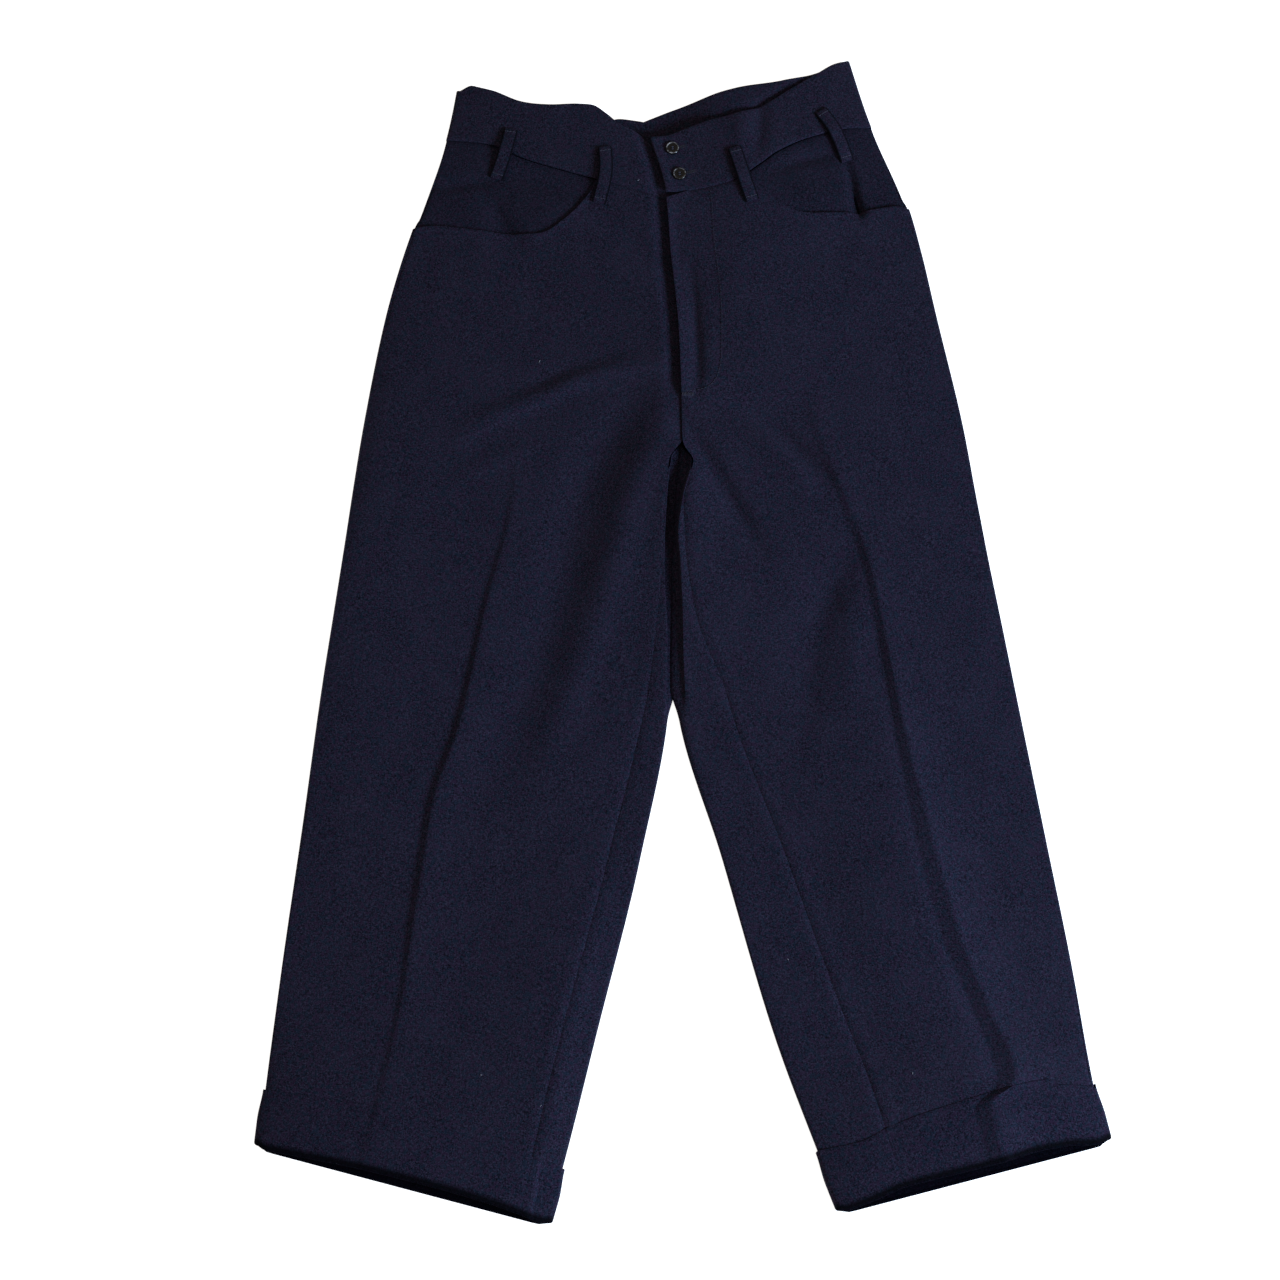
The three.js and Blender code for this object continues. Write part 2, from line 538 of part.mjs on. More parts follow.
function backCuff(half) {
  return cuff(half, (up) => {
    const start = turnAt(half, up, inseamShare(half, up), GAP / 2);
    const lower = [4, 4.2, 4.4, 4.6, 4.8, 5, 5.5, 6 - seamTurn(half, up)];
    return [start, mix(start, 2, 0.5), 2, 2.5, 3, 3.5, ...lower];
  });
}

// ---- belt loops ----
// a flat strip along the points, each with the direction across it
function strip(points, across, width, thick) {
  const level = (p, k, side, lift) => p.clone().addScaledVector(across[k], (side * width) / 2)
    .add(new THREE.Vector3(0, 0, lift));
  const skin = (lift) => points.map((p, k) => [-1, 1].map((side) => level(p, k, side, lift)));
  return wall(skin(thick / 2), skin(-thick / 2));
}

function frontLoop(half, [topShare, topUp, footShare, footUp]) {
  const seam = read(half.waist, footShare);
  const onFacing = footUp > read(half.pocket, footShare);
  const cloth = onFacing ? -LAP + CLOTH / 2 : CLOTH / 2;
  const over = LOOP.thick / 2 + GAP;
  const points = [];
  for (let k = 0; k <= LOOP.steps; k += 1) {
    const f = k / LOOP.steps;
    const up = mix(footUp, topUp, f);
    const share = mix(footShare, topShare, f);
    const onBand = THREE.MathUtils.smoothstep(up, seam - LOOP_STEP.from, seam - LOOP_STEP.to);
    const rest = over + mix(cloth, BAND / 2, onBand);
    const arch = LOOP.arch * Math.sin(Math.PI * f) ** 1.2;
    points.push(spot(half, up, turnAt(half, up, share), { drop: -(rest + arch) }));
  }
  const along = points[LOOP.steps].clone().sub(points[0]).setZ(0).normalize();
  const across = points.map(() => new THREE.Vector3(-along.y, along.x, 0));
  return strip(points, across, LOOP.width, LOOP.thick);
}

function backLoop(half, share) {
  const up = mix(read(BACK_WAIST_SEAM, share), read(half.backBandTop, share), BACK_LOOP.place);
  const middle = spot(half, up, 4 + (1 - share));
  middle.z = BACK_LOOP.thick / 2;
  const above = spot(half, up + BACK_LOOP.long / 2, 4 + (1 - share));
  const along = above.sub(middle).setZ(0).normalize();
  const points = [-1, -0.5, 0, 0.5, 1].map((f) => middle.clone().addScaledVector(along, (f * BACK_LOOP.long) / 2));
  const across = points.map(() => new THREE.Vector3(-along.y, along.x, 0));
  return strip(points, across, BACK_LOOP.width, BACK_LOOP.thick);
}

// ---- buttons: turned discs with a raised rim and a dished middle ----
function button() {
  const { radius, thick, rim, dish, foot, belly, round, slope, steps } = BUTTON;
  const profile = [
    [0, 0],
    [radius - foot, 0],
    [radius, thick * belly],
    [radius - rim * round, thick],
    [radius - rim, thick],
    [radius - rim - slope, thick - dish],
    [0, thick - dish],
  ].map(([x, y]) => new THREE.Vector2(x, y));
  return new THREE.LatheGeometry(profile, steps).rotateX(Math.PI / 2);
}

// ---- finishes ----
const cloth = (tint = 1) => new THREE.MeshStandardMaterial({
  color: new THREE.Color(0.012 * tint, 0.0125 * tint, 0.029 * tint), roughness: 0.95, metalness: 0,
});
const horn = () => new THREE.MeshStandardMaterial({
  color: new THREE.Color(0.008, 0.008, 0.011), roughness: 0.25, metalness: 0,
});

const slacks = new THREE.Group();

function add(name, geometry, material) {
  const mesh = new THREE.Mesh(geometry, material);
  mesh.name = name;
  slacks.add(mesh);
  return mesh;
}

for (const [name, half] of Object.entries(HALVES)) {
  add(`front_${name}`, frontPanel(half), cloth());
  add(`back_${name}`, backPanel(half), cloth(0.95));
  add(`pocket_facing_${name}`, pocketFacing(half), cloth(0.9));
  add(`waistband_front_${name}`, frontBand(half), cloth(1.02));
  add(`waistband_back_${name}`, backBand(half), cloth(0.92));
  add(`cuff_front_${name}`, frontCuff(half), cloth(1.05));
  add(`cuff_back_${name}`, backCuff(half), cloth(1));
}
add('belt_loop_side_right', frontLoop(HALVES.right, RIGHT_LOOPS.side), cloth(1.05));
add('belt_loop_front_right', frontLoop(HALVES.right, RIGHT_LOOPS.front), cloth(1.05));
add('belt_loop_front_left', frontLoop(HALVES.left, LEFT_LOOPS.front), cloth(1.05));
add('belt_loop_side_left', frontLoop(HALVES.left, LEFT_LOOPS.side), cloth(1.05));
for (const [name, side, share] of BACK_LOOPS) add(name, backLoop(HALVES[side], share), cloth(1.05));
for (const [name, share, up] of BUTTONS) {
  const disc = add(name, button(), horn());
  const { left } = HALVES;
  disc.position.copy(spot(left, up, turnAt(left, up, share), { drop: -(BAND / 2 + GAP) }));
}

export default slacks;
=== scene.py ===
"""Cuffed wool slacks lying flat on their back, fly fastened: the cloth, seams, buttons and light.

Sizes are in millimetres in the tables and turned into metres as each piece is placed.
X runs to the wearer's left, Y from the hems to the waist, Z up from the surface.
A point of each half is given by its height up the leg and its turn around the girth:
0 outseam, 0..1 over the outer fold, 1..2 the upper wall, 2..4 around the inner fold,
4..5 the lower wall, 5..6 back up the outer fold.
"""

import math
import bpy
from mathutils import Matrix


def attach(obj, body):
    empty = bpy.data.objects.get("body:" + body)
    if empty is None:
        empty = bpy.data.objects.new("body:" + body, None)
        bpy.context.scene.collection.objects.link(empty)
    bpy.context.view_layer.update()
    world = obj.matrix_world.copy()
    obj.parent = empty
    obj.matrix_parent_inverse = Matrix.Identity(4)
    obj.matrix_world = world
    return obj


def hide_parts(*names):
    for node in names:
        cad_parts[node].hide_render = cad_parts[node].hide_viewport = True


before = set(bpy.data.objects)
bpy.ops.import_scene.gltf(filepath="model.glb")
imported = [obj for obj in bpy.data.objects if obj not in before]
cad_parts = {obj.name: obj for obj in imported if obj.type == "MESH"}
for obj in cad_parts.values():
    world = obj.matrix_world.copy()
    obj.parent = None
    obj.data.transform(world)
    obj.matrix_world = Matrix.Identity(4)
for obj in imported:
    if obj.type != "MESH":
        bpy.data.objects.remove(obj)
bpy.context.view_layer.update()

from types import SimpleNamespace

import bpy
import numpy as np
from mathutils import Matrix, Vector

# ---- driving sizes, millimetres ----
MM = 0.001
CLOTH = 1.2  # one layer of wool
BAND = 2.5  # waistband
CUFF = 2.4  # turned-up cloth outside the leg
GAP = 0.3  # between neighbouring pieces
SEAM = 0.04  # between two edges that are sewn together
LAP = CLOTH + GAP  # one layer lying on another, middle to middle
CUFF_SPREAD = 1.4  # how far a cuff runs out past its leg at each side
CUFF_LIP = 2.7  # height of its rolled lower edge
LEG_FOOT = CUFF_LIP + 2 * GAP  # the leg's cut end
CREASE_BACK = 45  # gentle side of a pressed crease
FLY_UNDERLAP = 12  # how far the right front runs under the left at the fly
CROTCH_UNDERLAP = 2.5  # and along the crotch seam
BAND_UNDERLAP = 26.6
FLY_END = 696  # height at which the fly ends
FORK = 655  # height at which the legs part
TORSO_TO = 760  # height above which the rows of a panel follow its top edge
FOOT_ROW = 62  # height below which they ease off its cut end
FACING_FOOT = 845  # lower edge of a pocket facing, under the front
CENTRE = (0.5, -1.4)  # middle of the outline
STEP = 3.6  # spacing of a panel's rows
NEAR = 1e-6
FOLD_FADE = 1.4  # how steeply a fold eases out to its sides
TURN_STEP = 0.004  # by which a section's slope is read

# ---- tables; the first column is what each is read by ----
COLUMNS = ["out_x", "out_y", "in_x", "in_y", "base", "fold_out", "fold_in", "round_in", "loft"]
RIGHT = {
    "stations": [
        [0, -357.5, -490, -114, -553, 2.7, 4.5, 4.5, 2.3, 8.5],
        [48, -353.5, -439, -100.5, -504, 2.7, 4.5, 4.5, 2.3, 7],
        [150, -345.5, -342, -73, -392, 0, 3.6, 3.6, 2, 2.5],
        [290, -332, -207, -36, -240, 0, 3.6, 4, 2.2, 0.8],
        [420, -319.5, -75, -10, -96, 0, 3.6, 7, 3, 0.8],
        [470, -313.5, -22, -7.7, -42, 0, 3.6, 8.5, 3.5, 0.8],
        [540, -305, 53, -6.8, 33, 0, 3.6, 10.5, 7, 0.8],
        [600, -298.5, 113, -3.2, 97, 0, 3.7, 12, 8, 0.8],
        [635, -294.5, 148, -0.2, 135, 0, 3.8, 12, 7, 0.8],
        [655, -292, 168, 2, 156, 0, 3.8, 11.5, 0.8, 0.8],
        [760, -275, 278, 0, 263, 0, 4.6, 8.5, 0.8, 0.8],
        [820, -262, 335, -4.2, 314, 0, 5.2, 8, 0.8, 1.1],
        [860, -251, 373, -7.5, 348, 1.2, 5.5, 8, 0.8, 1.5],
        [935, -221, 468, -12, 408, 2.7, 5.5, 9, 0.8, 2.5],
        [990, -212.5, 520, -26.5, 463, 2.7, 5.5, 10, 0.8, 4],
        [1040, -207, 567, -40, 513, 2.7, 5.5, 10, 0.8, 4.5],
    ],
    "inseam": [[0, 0.9], [100, 0.893], [250, 0.903], [380, 0.921], [430, 0.938], [540, 0.97], [655, 0.99]],
    "crease": [
        [0, 0.367, 0.5, 5], [64, 0.38, 0.8, 5], [141, 0.391, 1.5, 5], [229, 0.378, 2.3, 6],
        [312, 0.373, 2.9, 7], [390, 0.412, 2.7, 6], [487, 0.447, 2, 5], [587, 0.499, 1, 5],
        [660, 0.5, 0, 5], [1040, 0.5, 0, 5],
    ],
    "hem": [[0, 0], [0.14, 2], [0.4, 5], [0.62, 5.5], [0.79, 4.5], [1, 0]],
    "cuff_top": [[0, 47], [0.21, 52], [0.375, 56], [0.55, 53], [0.85, 49], [1, 45]],
    "pocket": [
        [0, 858], [0.1, 862], [0.34, 861], [0.44, 862], [0.49, 864], [0.525, 868], [0.563, 877],
        [0.602, 889], [0.637, 903], [0.671, 916], [0.69, 928.5], [1, 928.5],
    ],
    "waist": [[0, 932], [0.2, 937], [0.35, 932], [0.64, 929], [0.81, 928], [1, 926]],
    "band_top": [
        [0, 988], [0.06, 997], [0.155, 997], [0.31, 993], [0.46, 997], [0.63, 1008], [0.71, 1011],
        [0.78, 1005], [0.84, 997], [0.93, 993], [1, 984],
    ],
    "back_band_top": [[0, 988], [0.4, 990], [0.7, 998], [0.8, 1003], [0.87, 1009], [1, 1013]],
}
LEFT = {
    "stations": [
        [0, 358.5, -485.5, 133, -543, 2.7, 4.5, 4.5, 2.3, 8.5],
        [48, 348.5, -434, 114, -493, 2.7, 4.5, 4.5, 2.3, 7],
        [150, 337.5, -342, 79, -394, 0, 3.6, 3.6, 2, 2.5],
        [290, 319, -217, 36, -240, 0, 3.6, 4, 2.2, 0.8],
        [420, 299.5, -87, -3.5, -96, 0, 3.6, 7, 8, 0.8],
        [470, 291.5, -33, -6.9, -42, 0, 3.6, 8.5, 9.5, 0.8],
        [540, 280, 43, -6.2, 33, 0, 3.6, 10.5, 6.5, 0.8],
        [570, 275.5, 75.5, -4.4, 65, 0, 3.65, 11.2, 3, 0.8],
        [600, 271, 108, -2.6, 97, 0, 3.7, 12, 5.5, 0.8],
        [632, 266.5, 143, 0.2, 132, 0, 3.8, 12, 11, 0.8],
        [655, 263, 168, 2.6, 156, 0, 3.8, 11.5, 0.8, 0.8],
        [760, 242, 283, 0, 263, 0, 4.6, 8.5, 0.8, 0.8],
        [820, 230.5, 347, -4.2, 314, 0, 5.2, 8, 0.8, 1.1],
        [860, 220, 393, -7.5, 348, 1.2, 5.5, 8, 0.8, 1.5],
        [935, 185, 482, -12, 408, 2.7, 5.5, 9, 0.8, 2.5],
        [990, 166.5, 551, -26.5, 463, 2.7, 5.5, 10, 0.8, 4],
        [1040, 151, 614, -40, 513, 2.7, 5.5, 10, 0.8, 4.5],
    ],
    "inseam": [
        [0, 0.755], [90, 0.752], [173, 0.771], [290, 0.807], [380, 0.833], [430, 0.855], [491, 0.925],
        [561, 0.965], [655, 0.99],
    ],
    "crease": [
        [0, 0.39, 2.4, 14], [25, 0.387, 3, 14], [53, 0.378, 3.2, 14], [61, 0.29, 4.4, 17],
        [75, 0.262, 5.8, 17], [135, 0.302, 6.6, 14], [209, 0.34, 7.2, 16], [292, 0.352, 6.2, 14],
        [400, 0.35, 4.2, 9], [526, 0.372, 2.6, 7], [598, 0.438, 2, 7], [670, 0.52, 1, 8],
        [720, 0.52, 0, 8], [1040, 0.5, 0, 8],
    ],
    "hem": [[0, 0], [0.07, 2], [0.15, 5.5], [0.27, 7], [0.4, 5.5], [0.55, 6], [0.74, 6.5], [0.86, 3], [1, 0]],
    "cuff_top": [
        [0, 44], [0.1, 51], [0.26, 60], [0.36, 61], [0.63, 57], [0.75, 53], [0.85, 48], [1, 50],
    ],
    "pocket": [
        [0, 859], [0.07, 863], [0.2, 863], [0.327, 867], [0.43, 871], [0.489, 879], [0.516, 886],
        [0.543, 893], [0.575, 905], [0.599, 917], [0.618, 926], [1, 926],
    ],
    "waist": [
        [0, 932], [0.11, 937], [0.3, 939], [0.44, 936], [0.55, 929], [0.69, 921], [0.87, 925], [1, 932],
    ],
    "band_top": [
        [0, 990], [0.06, 991], [0.15, 988.5], [0.29, 984], [0.47, 979], [0.59, 981], [0.73, 985], [0.9, 986],
        [1, 990],
    ],
    "back_band_top": [
        [0, 990], [0.15, 990], [0.32, 994], [0.54, 1004], [0.73, 1009], [0.87, 1012], [1, 1013],
    ],
}
BACK_CUFF_TOP = [[0, 47], [0.5, 50], [1, 47]]
BACK_WAIST = [[0, 932], [0.5, 938], [1, 945]]
SIDE_STEP = [[845, 0], [862, 1.5], [868, 3.1], [900, 1.8], [932, 0]]
SEAT_START = [[600, 2], [635, 2.12], [655, 2.9], [663, 3.25], [672, 3.6], [684, 3.98], [700, 4]]

# belt loops: half, share and height at the top, share and height at the foot, bow to the side
FRONT_LOOPS = {
    "belt_loop_side_right": ("right", 0.286, 958, 0.258, 908, 0),
    "belt_loop_front_right": ("right", 0.742, 966, 0.706, 903, 0.8),
    "belt_loop_front_left": ("left", 0.646, 951, 0.628, 893, 0),
    "belt_loop_side_left": ("left", 0.205, 957, 0.166, 910, -3.5),
}
BACK_LOOPS = {
    "belt_loop_back_right": ("right", 0.52),
    "belt_loop_back_centre": ("right", 0.985),
    "belt_loop_back_left": ("left", 0.52),
}
LOOP = SimpleNamespace(width=15, thick=1.8, arch=2.2)
BACK_LOOP = SimpleNamespace(width=13, thick=1.6, long=64)
BUTTONS = {"button_upper": (0.917, 972), "button_lower": (0.921, 946)}
BUTTON = SimpleNamespace(radius=6.6, thick=2.6)

# folds and dents of the upper wall: width to the left and right of the path, then x, y, height along it
FOLDS = {
    "whisker": (10, 15, [(-15, 231, 0.9), (-59, 224, 2.6), (-97, 212, 4), (-125, 198, 4.3),
        (-158, 184, 3.6), (-190, 166, 1.8), (-213, 142, 0)]),
    "whisker_trough": (9, 9, [(-20, 245, 0), (-60, 239, -0.9), (-98, 227, -1.5), (-128, 212, -1.5),
        (-165, 197, 0)]),
    "low_whisker": (8, 12, [(-120, 150, 0), (-150, 143, 1.3), (-180, 128, 1.3), (-215, 105, 0)]),
    "thigh_valley": (26, 24, [(-38, 198, -1.6), (-64, 158, -3), (-86, 112, -3.6), (-98, 66, -3.7),
        (-107, 24, -3.6), (-115, -15, -3.3), (-133, -80, -2.8), (-149, -130, -1.9), (-159, -190, 0)]),
    "thigh_roll": (20, 24, [(-6, 192, 0.8), (-25, 147, 3.2), (-42, 105, 4), (-53, 62, 4),
        (-65, 15, 3.8), (-77, -25, 3.2), (-97, -80, 2.5), (-115, -128, 1.6), (-125, -180, 0)]),
    "fork_trough": (11, 14, [(2, 176, -1.8), (22, 140, -5.2), (40, 108, -6), (60, 72, -4.2),
        (82, 36, 0)]),
    "fork_roll": (10, 10, [(8, 112, 0.8), (14, 86, 1.4), (22, 52, 1), (32, 12, 0)]),
    "second_trough": (10, 10, [(34, 194, 0), (64, 181, -2.4), (92, 164, -4), (119, 135, -3.2),
        (144, 110, 0)]),
    "second_roll": (8, 14, [(54, 166, 0.8), (84, 147, 3), (108, 124, 2.8), (130, 98, 0)]),
    "left_thigh_valley": (16, 26, [(160, 60, -0.5), (138, 14, -2.7), (121, -32, -3.1), (112, -90, -2.1),
        (106, -150, 0)]),
    "left_thigh_roll": (20, 16, [(170, 20, 0.5), (160, -20, 1.9), (153, -70, 1.8), (150, -130, 0)]),
    "right_thigh_lean": (95, 26, [(-250, 300, 0), (-268, 200, 4.2), (-288, 80, 5.2), (-305, -40, 4.6),
        (-318, -150, 3), (-328, -260, 0)]),
    "fly_lean": (90, 50, [(66, 505, 2), (63, 430, 4.6), (60, 330, 5.4), (58, 240, 3.4), (56, 190, 0)]),
    "left_knee": (20, 20, [(106, -180, 0), (122, -245, -0.9), (138, -302, -0.9), (165, -350, 0)]),
    "left_outer_dent": (16, 16, [(276, -165, 0), (287, -200, -0.9), (300, -238, 0)]),
    "right_inner_strip": (14, 12, [(-20, -60, 0), (-42, -150, -0.9), (-66, -260, -1.2), (-92, -380, -1),
        (-104, -440, 0)]),
    "right_calf_lean": (22, 80, [(-56, -200, 0), (-84, -320, 5), (-106, -420, 5.6), (-118, -490, 4)]),
    "left_calf_lean": (30, 95, [(158, -50, 0), (178, -130, 5), (192, -220, 8.5), (216, -330, 8.5),
        (244, -420, 6), (262, -470, 3.5)]),
    "below_loop": (12, 12, [(-92, 394, -1.2), (-62, 372, -3.6), (-36, 353, -3.8), (-12, 336, -2)]),
    "fly_trough": (7, 7, [(10, 335, -0.4), (14, 300, -2.2), (16, 265, -3.2), (17, 225, -3.2),
        (16, 200, -1)]),
    "facing_right_band_dent": (8, 9, [(-175, 433, 0), (-148, 424, -2.8), (-116, 412, -3.2),
        (-88, 400, -1)]),
    "facing_right_pit": (9, 14, [(-178, 398, -1.2), (-169, 380, -4.2), (-155, 362, -3.4)]),
    "facing_right_side": (7, 7, [(-232, 415, -1.6), (-203, 417, -2.8), (-170, 421, -0.5)]),
    "facing_right_roll": (12, 12, [(-150, 397, 1.2), (-125, 382, 2.6), (-105, 372, 1)]),
    "facing_left_dent": (7, 8, [(76, 424, 0), (105, 436, -2.2), (131, 445, -3), (146, 447, -2.4),
        (168, 440, 0)]),
    "facing_left_pit": (5, 7, [(160, 447, -0.5), (165, 424, -4), (169, 404, -6), (173, 387, -5.6)]),
    "facing_left_roll": (10, 10, [(112, 415, 0.8), (132, 404, 2.4), (150, 398, 1.2)]),
    "band_left_dent": (9, 9, [(78, 512, -1.2), (79, 480, -2.6), (76, 450, -1.2)]),
    "band_left_roll": (10, 10, [(60, 500, 0.6), (61, 475, 1.8), (60, 448, 0.5)]),
    "band_right_roll": (16, 16, [(-120, 470, 0), (-118, 500, 1.8), (-118, 520, 1)]),
}
# broad unevenness of cloth that has been laid down by hand: wavelength, direction in degrees, height
WAVES = [(173, 12, 0.22), (118, 74, 0.20), (97, 140, 0.16), (61, 33, 0.10), (47, 101, 0.08), (38, 165, 0.06)]

# the legs' inner folds where they lie side by side, and how far their feet run out past the fold
FOOT_HEIGHT = {"right": 2.0, "left": 4.6}
FOOT_FROM = (401, 431)
FOOT_TO = (650, 664)
FOOT_WALL = {"right": -0.4, "left": 2.6}  # how far the fold runs out as it drops to its foot
FOOT_LAP = [[395, 0.5], [426, 4.2], [450, 2.8], [475, 1.6], [510, 1.0], [700, 1.0]]


# ---- reading the tables ----
class Curve:
    """A table read by its first column, smoothly and without overshoot."""

    def __init__(self, rows):
        table = np.array(rows, float)
        self.at = table[:, 0]
        self.values = table[:, 1:]
        step = np.diff(self.at)[:, None]
        rise = np.diff(self.values, axis=0) / step
        before = 2 * step[1:] + step[:-1]
        after = step[1:] + 2 * step[:-1]
        level = rise[:-1] * rise[1:] <= 0
        below = np.where(level, 1, rise[:-1])
        above = np.where(level, 1, rise[1:])
        inner = np.where(level, 0, (before + after) / (before / below + after / above))
        self.slope = np.concatenate([rise[:1], inner, rise[-1:]])

    def read(self, at, column=0):
        at = np.clip(np.asarray(at, float), self.at[0], self.at[-1])
        i = np.clip(np.searchsorted(self.at, at) - 1, 0, len(self.at) - 2)
        width = self.at[i + 1] - self.at[i]
        f = (at - self.at[i]) / width
        first = self.values[i, column]
        rise = self.values[i + 1, column] - first
        bend = self.slope[i, column] * f * (1 - f) ** 2 - self.slope[i + 1, column] * f * f * (1 - f)
        return first + rise * f * f * (3 - 2 * f) + width * bend


def mix(a, b, f):
    return a + (b - a) * f


def ease(value, start, end):
    """0 before start, 1 after end, smooth between."""
    f = np.clip((np.asarray(value, float) - start) / (end - start), 0, 1)
    return f * f * (3 - 2 * f)


HALVES = {}
for side, sign, tables in [("right", 1, RIGHT), ("left", -1, LEFT)]:
    HALVES[side] = SimpleNamespace(name=side, sign=sign, **{key: Curve(rows) for key, rows in tables.items()})
BACK_CUFF_TOP_CURVE = Curve(BACK_CUFF_TOP)
BACK_WAIST_CURVE = Curve(BACK_WAIST)
SIDE_STEP_CURVE = Curve(SIDE_STEP)
SEAT_START_CURVE = Curve(SEAT_START)
FOOT_LAP_CURVE = Curve(FOOT_LAP)


# ---- relief of the upper wall ----
def smooth_path(points, pieces=6):
    """The points joined by a rounded line."""
    points = np.array(points, float)
    padded = np.concatenate([[2 * points[0] - points[1]], points, [2 * points[-1] - points[-2]]])
    line = []
    for a, b, c, d in zip(padded, padded[1:], padded[2:], padded[3:]):
        for f in np.arange(pieces) / pieces:
            line.append(0.5 * (2 * b + (c - a) * f + (2 * a - 5 * b + 4 * c - d) * f ** 2
                               + (3 * b - a - 3 * c + d) * f ** 3))
    line.append(points[-1])
    return np.array(line)


def fold_height(x, y, left, right, path):
    """One fold's height at x, y: full on its path and easing out to each side and past its ends."""
    line = smooth_path(path)
    nearest = np.full(x.shape, 1e9)
    height = np.zeros(x.shape)
    for (ax, ay, ah), (bx, by, bh) in zip(line, line[1:]):
        dx, dy = bx - ax, by - ay
        f = np.clip(((x - ax) * dx + (y - ay) * dy) / (dx * dx + dy * dy), 0, 1)
        px, py = x - ax - f * dx, y - ay - f * dy
        reach = np.where(dx * py - dy * px > 0, left, right)
        away = np.hypot(px, py) / reach
        closer = away < nearest
        nearest = np.where(closer, away, nearest)
        height = np.where(closer, mix(ah, bh, f), height)
    return height * np.exp(-FOLD_FADE * nearest ** 2)


def relief(x, y):
    """Height that folds and unevenness add to the upper wall, in the outline's own frame."""
    total = np.zeros(x.shape)
    for left, right, path in FOLDS.values():
        total += fold_height(x, y, left, right, path)
    for k, (length, direction, height) in enumerate(WAVES):
        a = math.radians(direction)
        bend = 0.6 * np.sin(y / (0.8 * length) + k)
        total += height * np.sin(2 * math.pi * (x * math.cos(a) + y * math.sin(a)) / length + 1.7 * k + bend)
    return total


# ---- the form of a half ----
def station(half, up):
    row = SimpleNamespace(**{name: half.stations.read(up, c) for c, name in enumerate(COLUMNS)})
    row.width = np.hypot(row.in_x - row.out_x, row.in_y - row.out_y)
    row.low = row.base + CLOTH / 2
    row.wall_from = CLOTH / 2 + row.fold_out / 2
    row.wall_to = row.width - CLOTH / 2 - row.round_in
    return row


def crease_ridge(half, row, up, across):
    height = half.crease.read(up, 1)
    steep = half.crease.read(up, 2)
    offset = half.sign * (across - half.crease.read(up) * row.width)
    gentle = np.clip(1 - offset / CREASE_BACK, 0, 1) ** 1.5
    sharp = np.clip(1 + offset / steep, 0, 1)
    return height * np.where(offset < 0, sharp, gentle)


def wall_middle(half, row, up, turn, inset):
    """Middle of the wall in its section: distance across and height. Below the fork the inner fold drops
    steeply and its foot runs out low to meet the other leg's, the left foot over the right."""
    start = row.wall_from + inset
    end = row.wall_to
    quarter = (turn - np.floor(turn)) * math.pi / 2
    sine, cosine = np.sin(quarter), np.cos(quarter)
    outer, inner = row.fold_out / 2, row.fold_in / 2
    f = np.clip(turn - 1, 0, 1)
    across = mix(start, end, f)
    hollow = mix(row.fold_out, row.fold_in, f ** 5) + row.loft * (4 * f * (1 - f)) ** 0.75
    where = [turn < 1, turn <= 2, turn < 3, turn < 4, turn <= 5]
    place = [start - outer * cosine, across, end + row.round_in * sine, end + row.round_in * cosine,
             mix(end, start, turn - 4)]
    rise = [outer * (1 + sine), hollow + crease_ridge(half, row, up, across), inner * (1 + cosine),
            inner * (1 - sine), 0 * turn]
    place, rise = np.select(where, place, start - outer * sine), np.select(where, rise, outer * (1 - cosine))
    foot, wall = FOOT_HEIGHT[half.name], FOOT_WALL[half.name]
    beside = ease(up, *FOOT_FROM) * (1 - ease(up, *FOOT_TO)) * ((turn > 2) & (turn < 4))
    reach = row.round_in + FOOT_LAP_CURVE.read(up)
    fall, run = ease(turn, 2, 2.5), ease(turn, 2.4, 3)
    slot_place = np.where(turn < 3, end + wall * fall + (reach - wall) * run, end + reach * cosine)
    slot_rise = np.where(turn < 3, mix(2 * inner, foot, fall) - foot / 2 * run ** 2, foot / 2 * (1 - sine))
    return mix(place, slot_place, beside), row.low + mix(rise, slot_rise, beside)


def spot(half, up, turn, out=0, slide=0, drop=0, inset=0, spread=0, folds=1):
    """Points of the tube, in millimetres. out is off the middle of the wall, slide further along the
    row, drop lower, inset moves the outer fold in and spread moves both folds out."""
    up, turn, out, slide, drop, inset = np.broadcast_arrays(*(
        np.asarray(v, float) for v in (up, turn, out, slide, drop, inset)))
    row = station(half, up)
    turn = np.where(np.abs(turn - np.round(turn)) < NEAR, np.round(turn), turn)
    across, z = wall_middle(half, row, up, turn, inset)
    before = wall_middle(half, row, up, np.maximum(turn - TURN_STEP, 0), inset)
    after = wall_middle(half, row, up, np.minimum(turn + TURN_STEP, 6 - NEAR), inset)
    run, climb = after[0] - before[0], after[1] - before[1]
    length = np.hypot(run, climb)
    share = across / row.width
    place = across - out * climb / length + slide + spread * (2 * share - 1)
    x = row.out_x + (row.in_x - row.out_x) / row.width * place
    y = row.out_y + (row.in_y - row.out_y) / row.width * place
    z = z + out * run / length - drop
    upper = ease(turn, 0.4, 1) * (1 - ease(turn, 2, 3))
    under = ease(turn, 4, 4.1) * (1 - ease(turn, 4.9, 5))
    z = z + folds * upper * relief(x, y) + under * under_relief(x, y)
    return np.stack([x - CENTRE[0], y - CENTRE[1], z], axis=-1)


def under_relief(x, y):
    """The lower wall lies on the surface and lifts off it only in broad shallow places."""
    lift = np.sin(x / 31 + np.sin(y / 47)) * np.sin(y / 53 + 0.7 * np.sin(x / 29))
    return 0.5 * np.clip(lift, 0, 1) ** 2


def turn_at(half, up, across):
    """Turn of a place on the upper wall, and how far past the wall's end it lies."""
    row = station(half, up)
    past = np.maximum(0, across - row.wall_to)
    return 1 + (across - past - row.wall_from) / (row.wall_to - row.wall_from), past


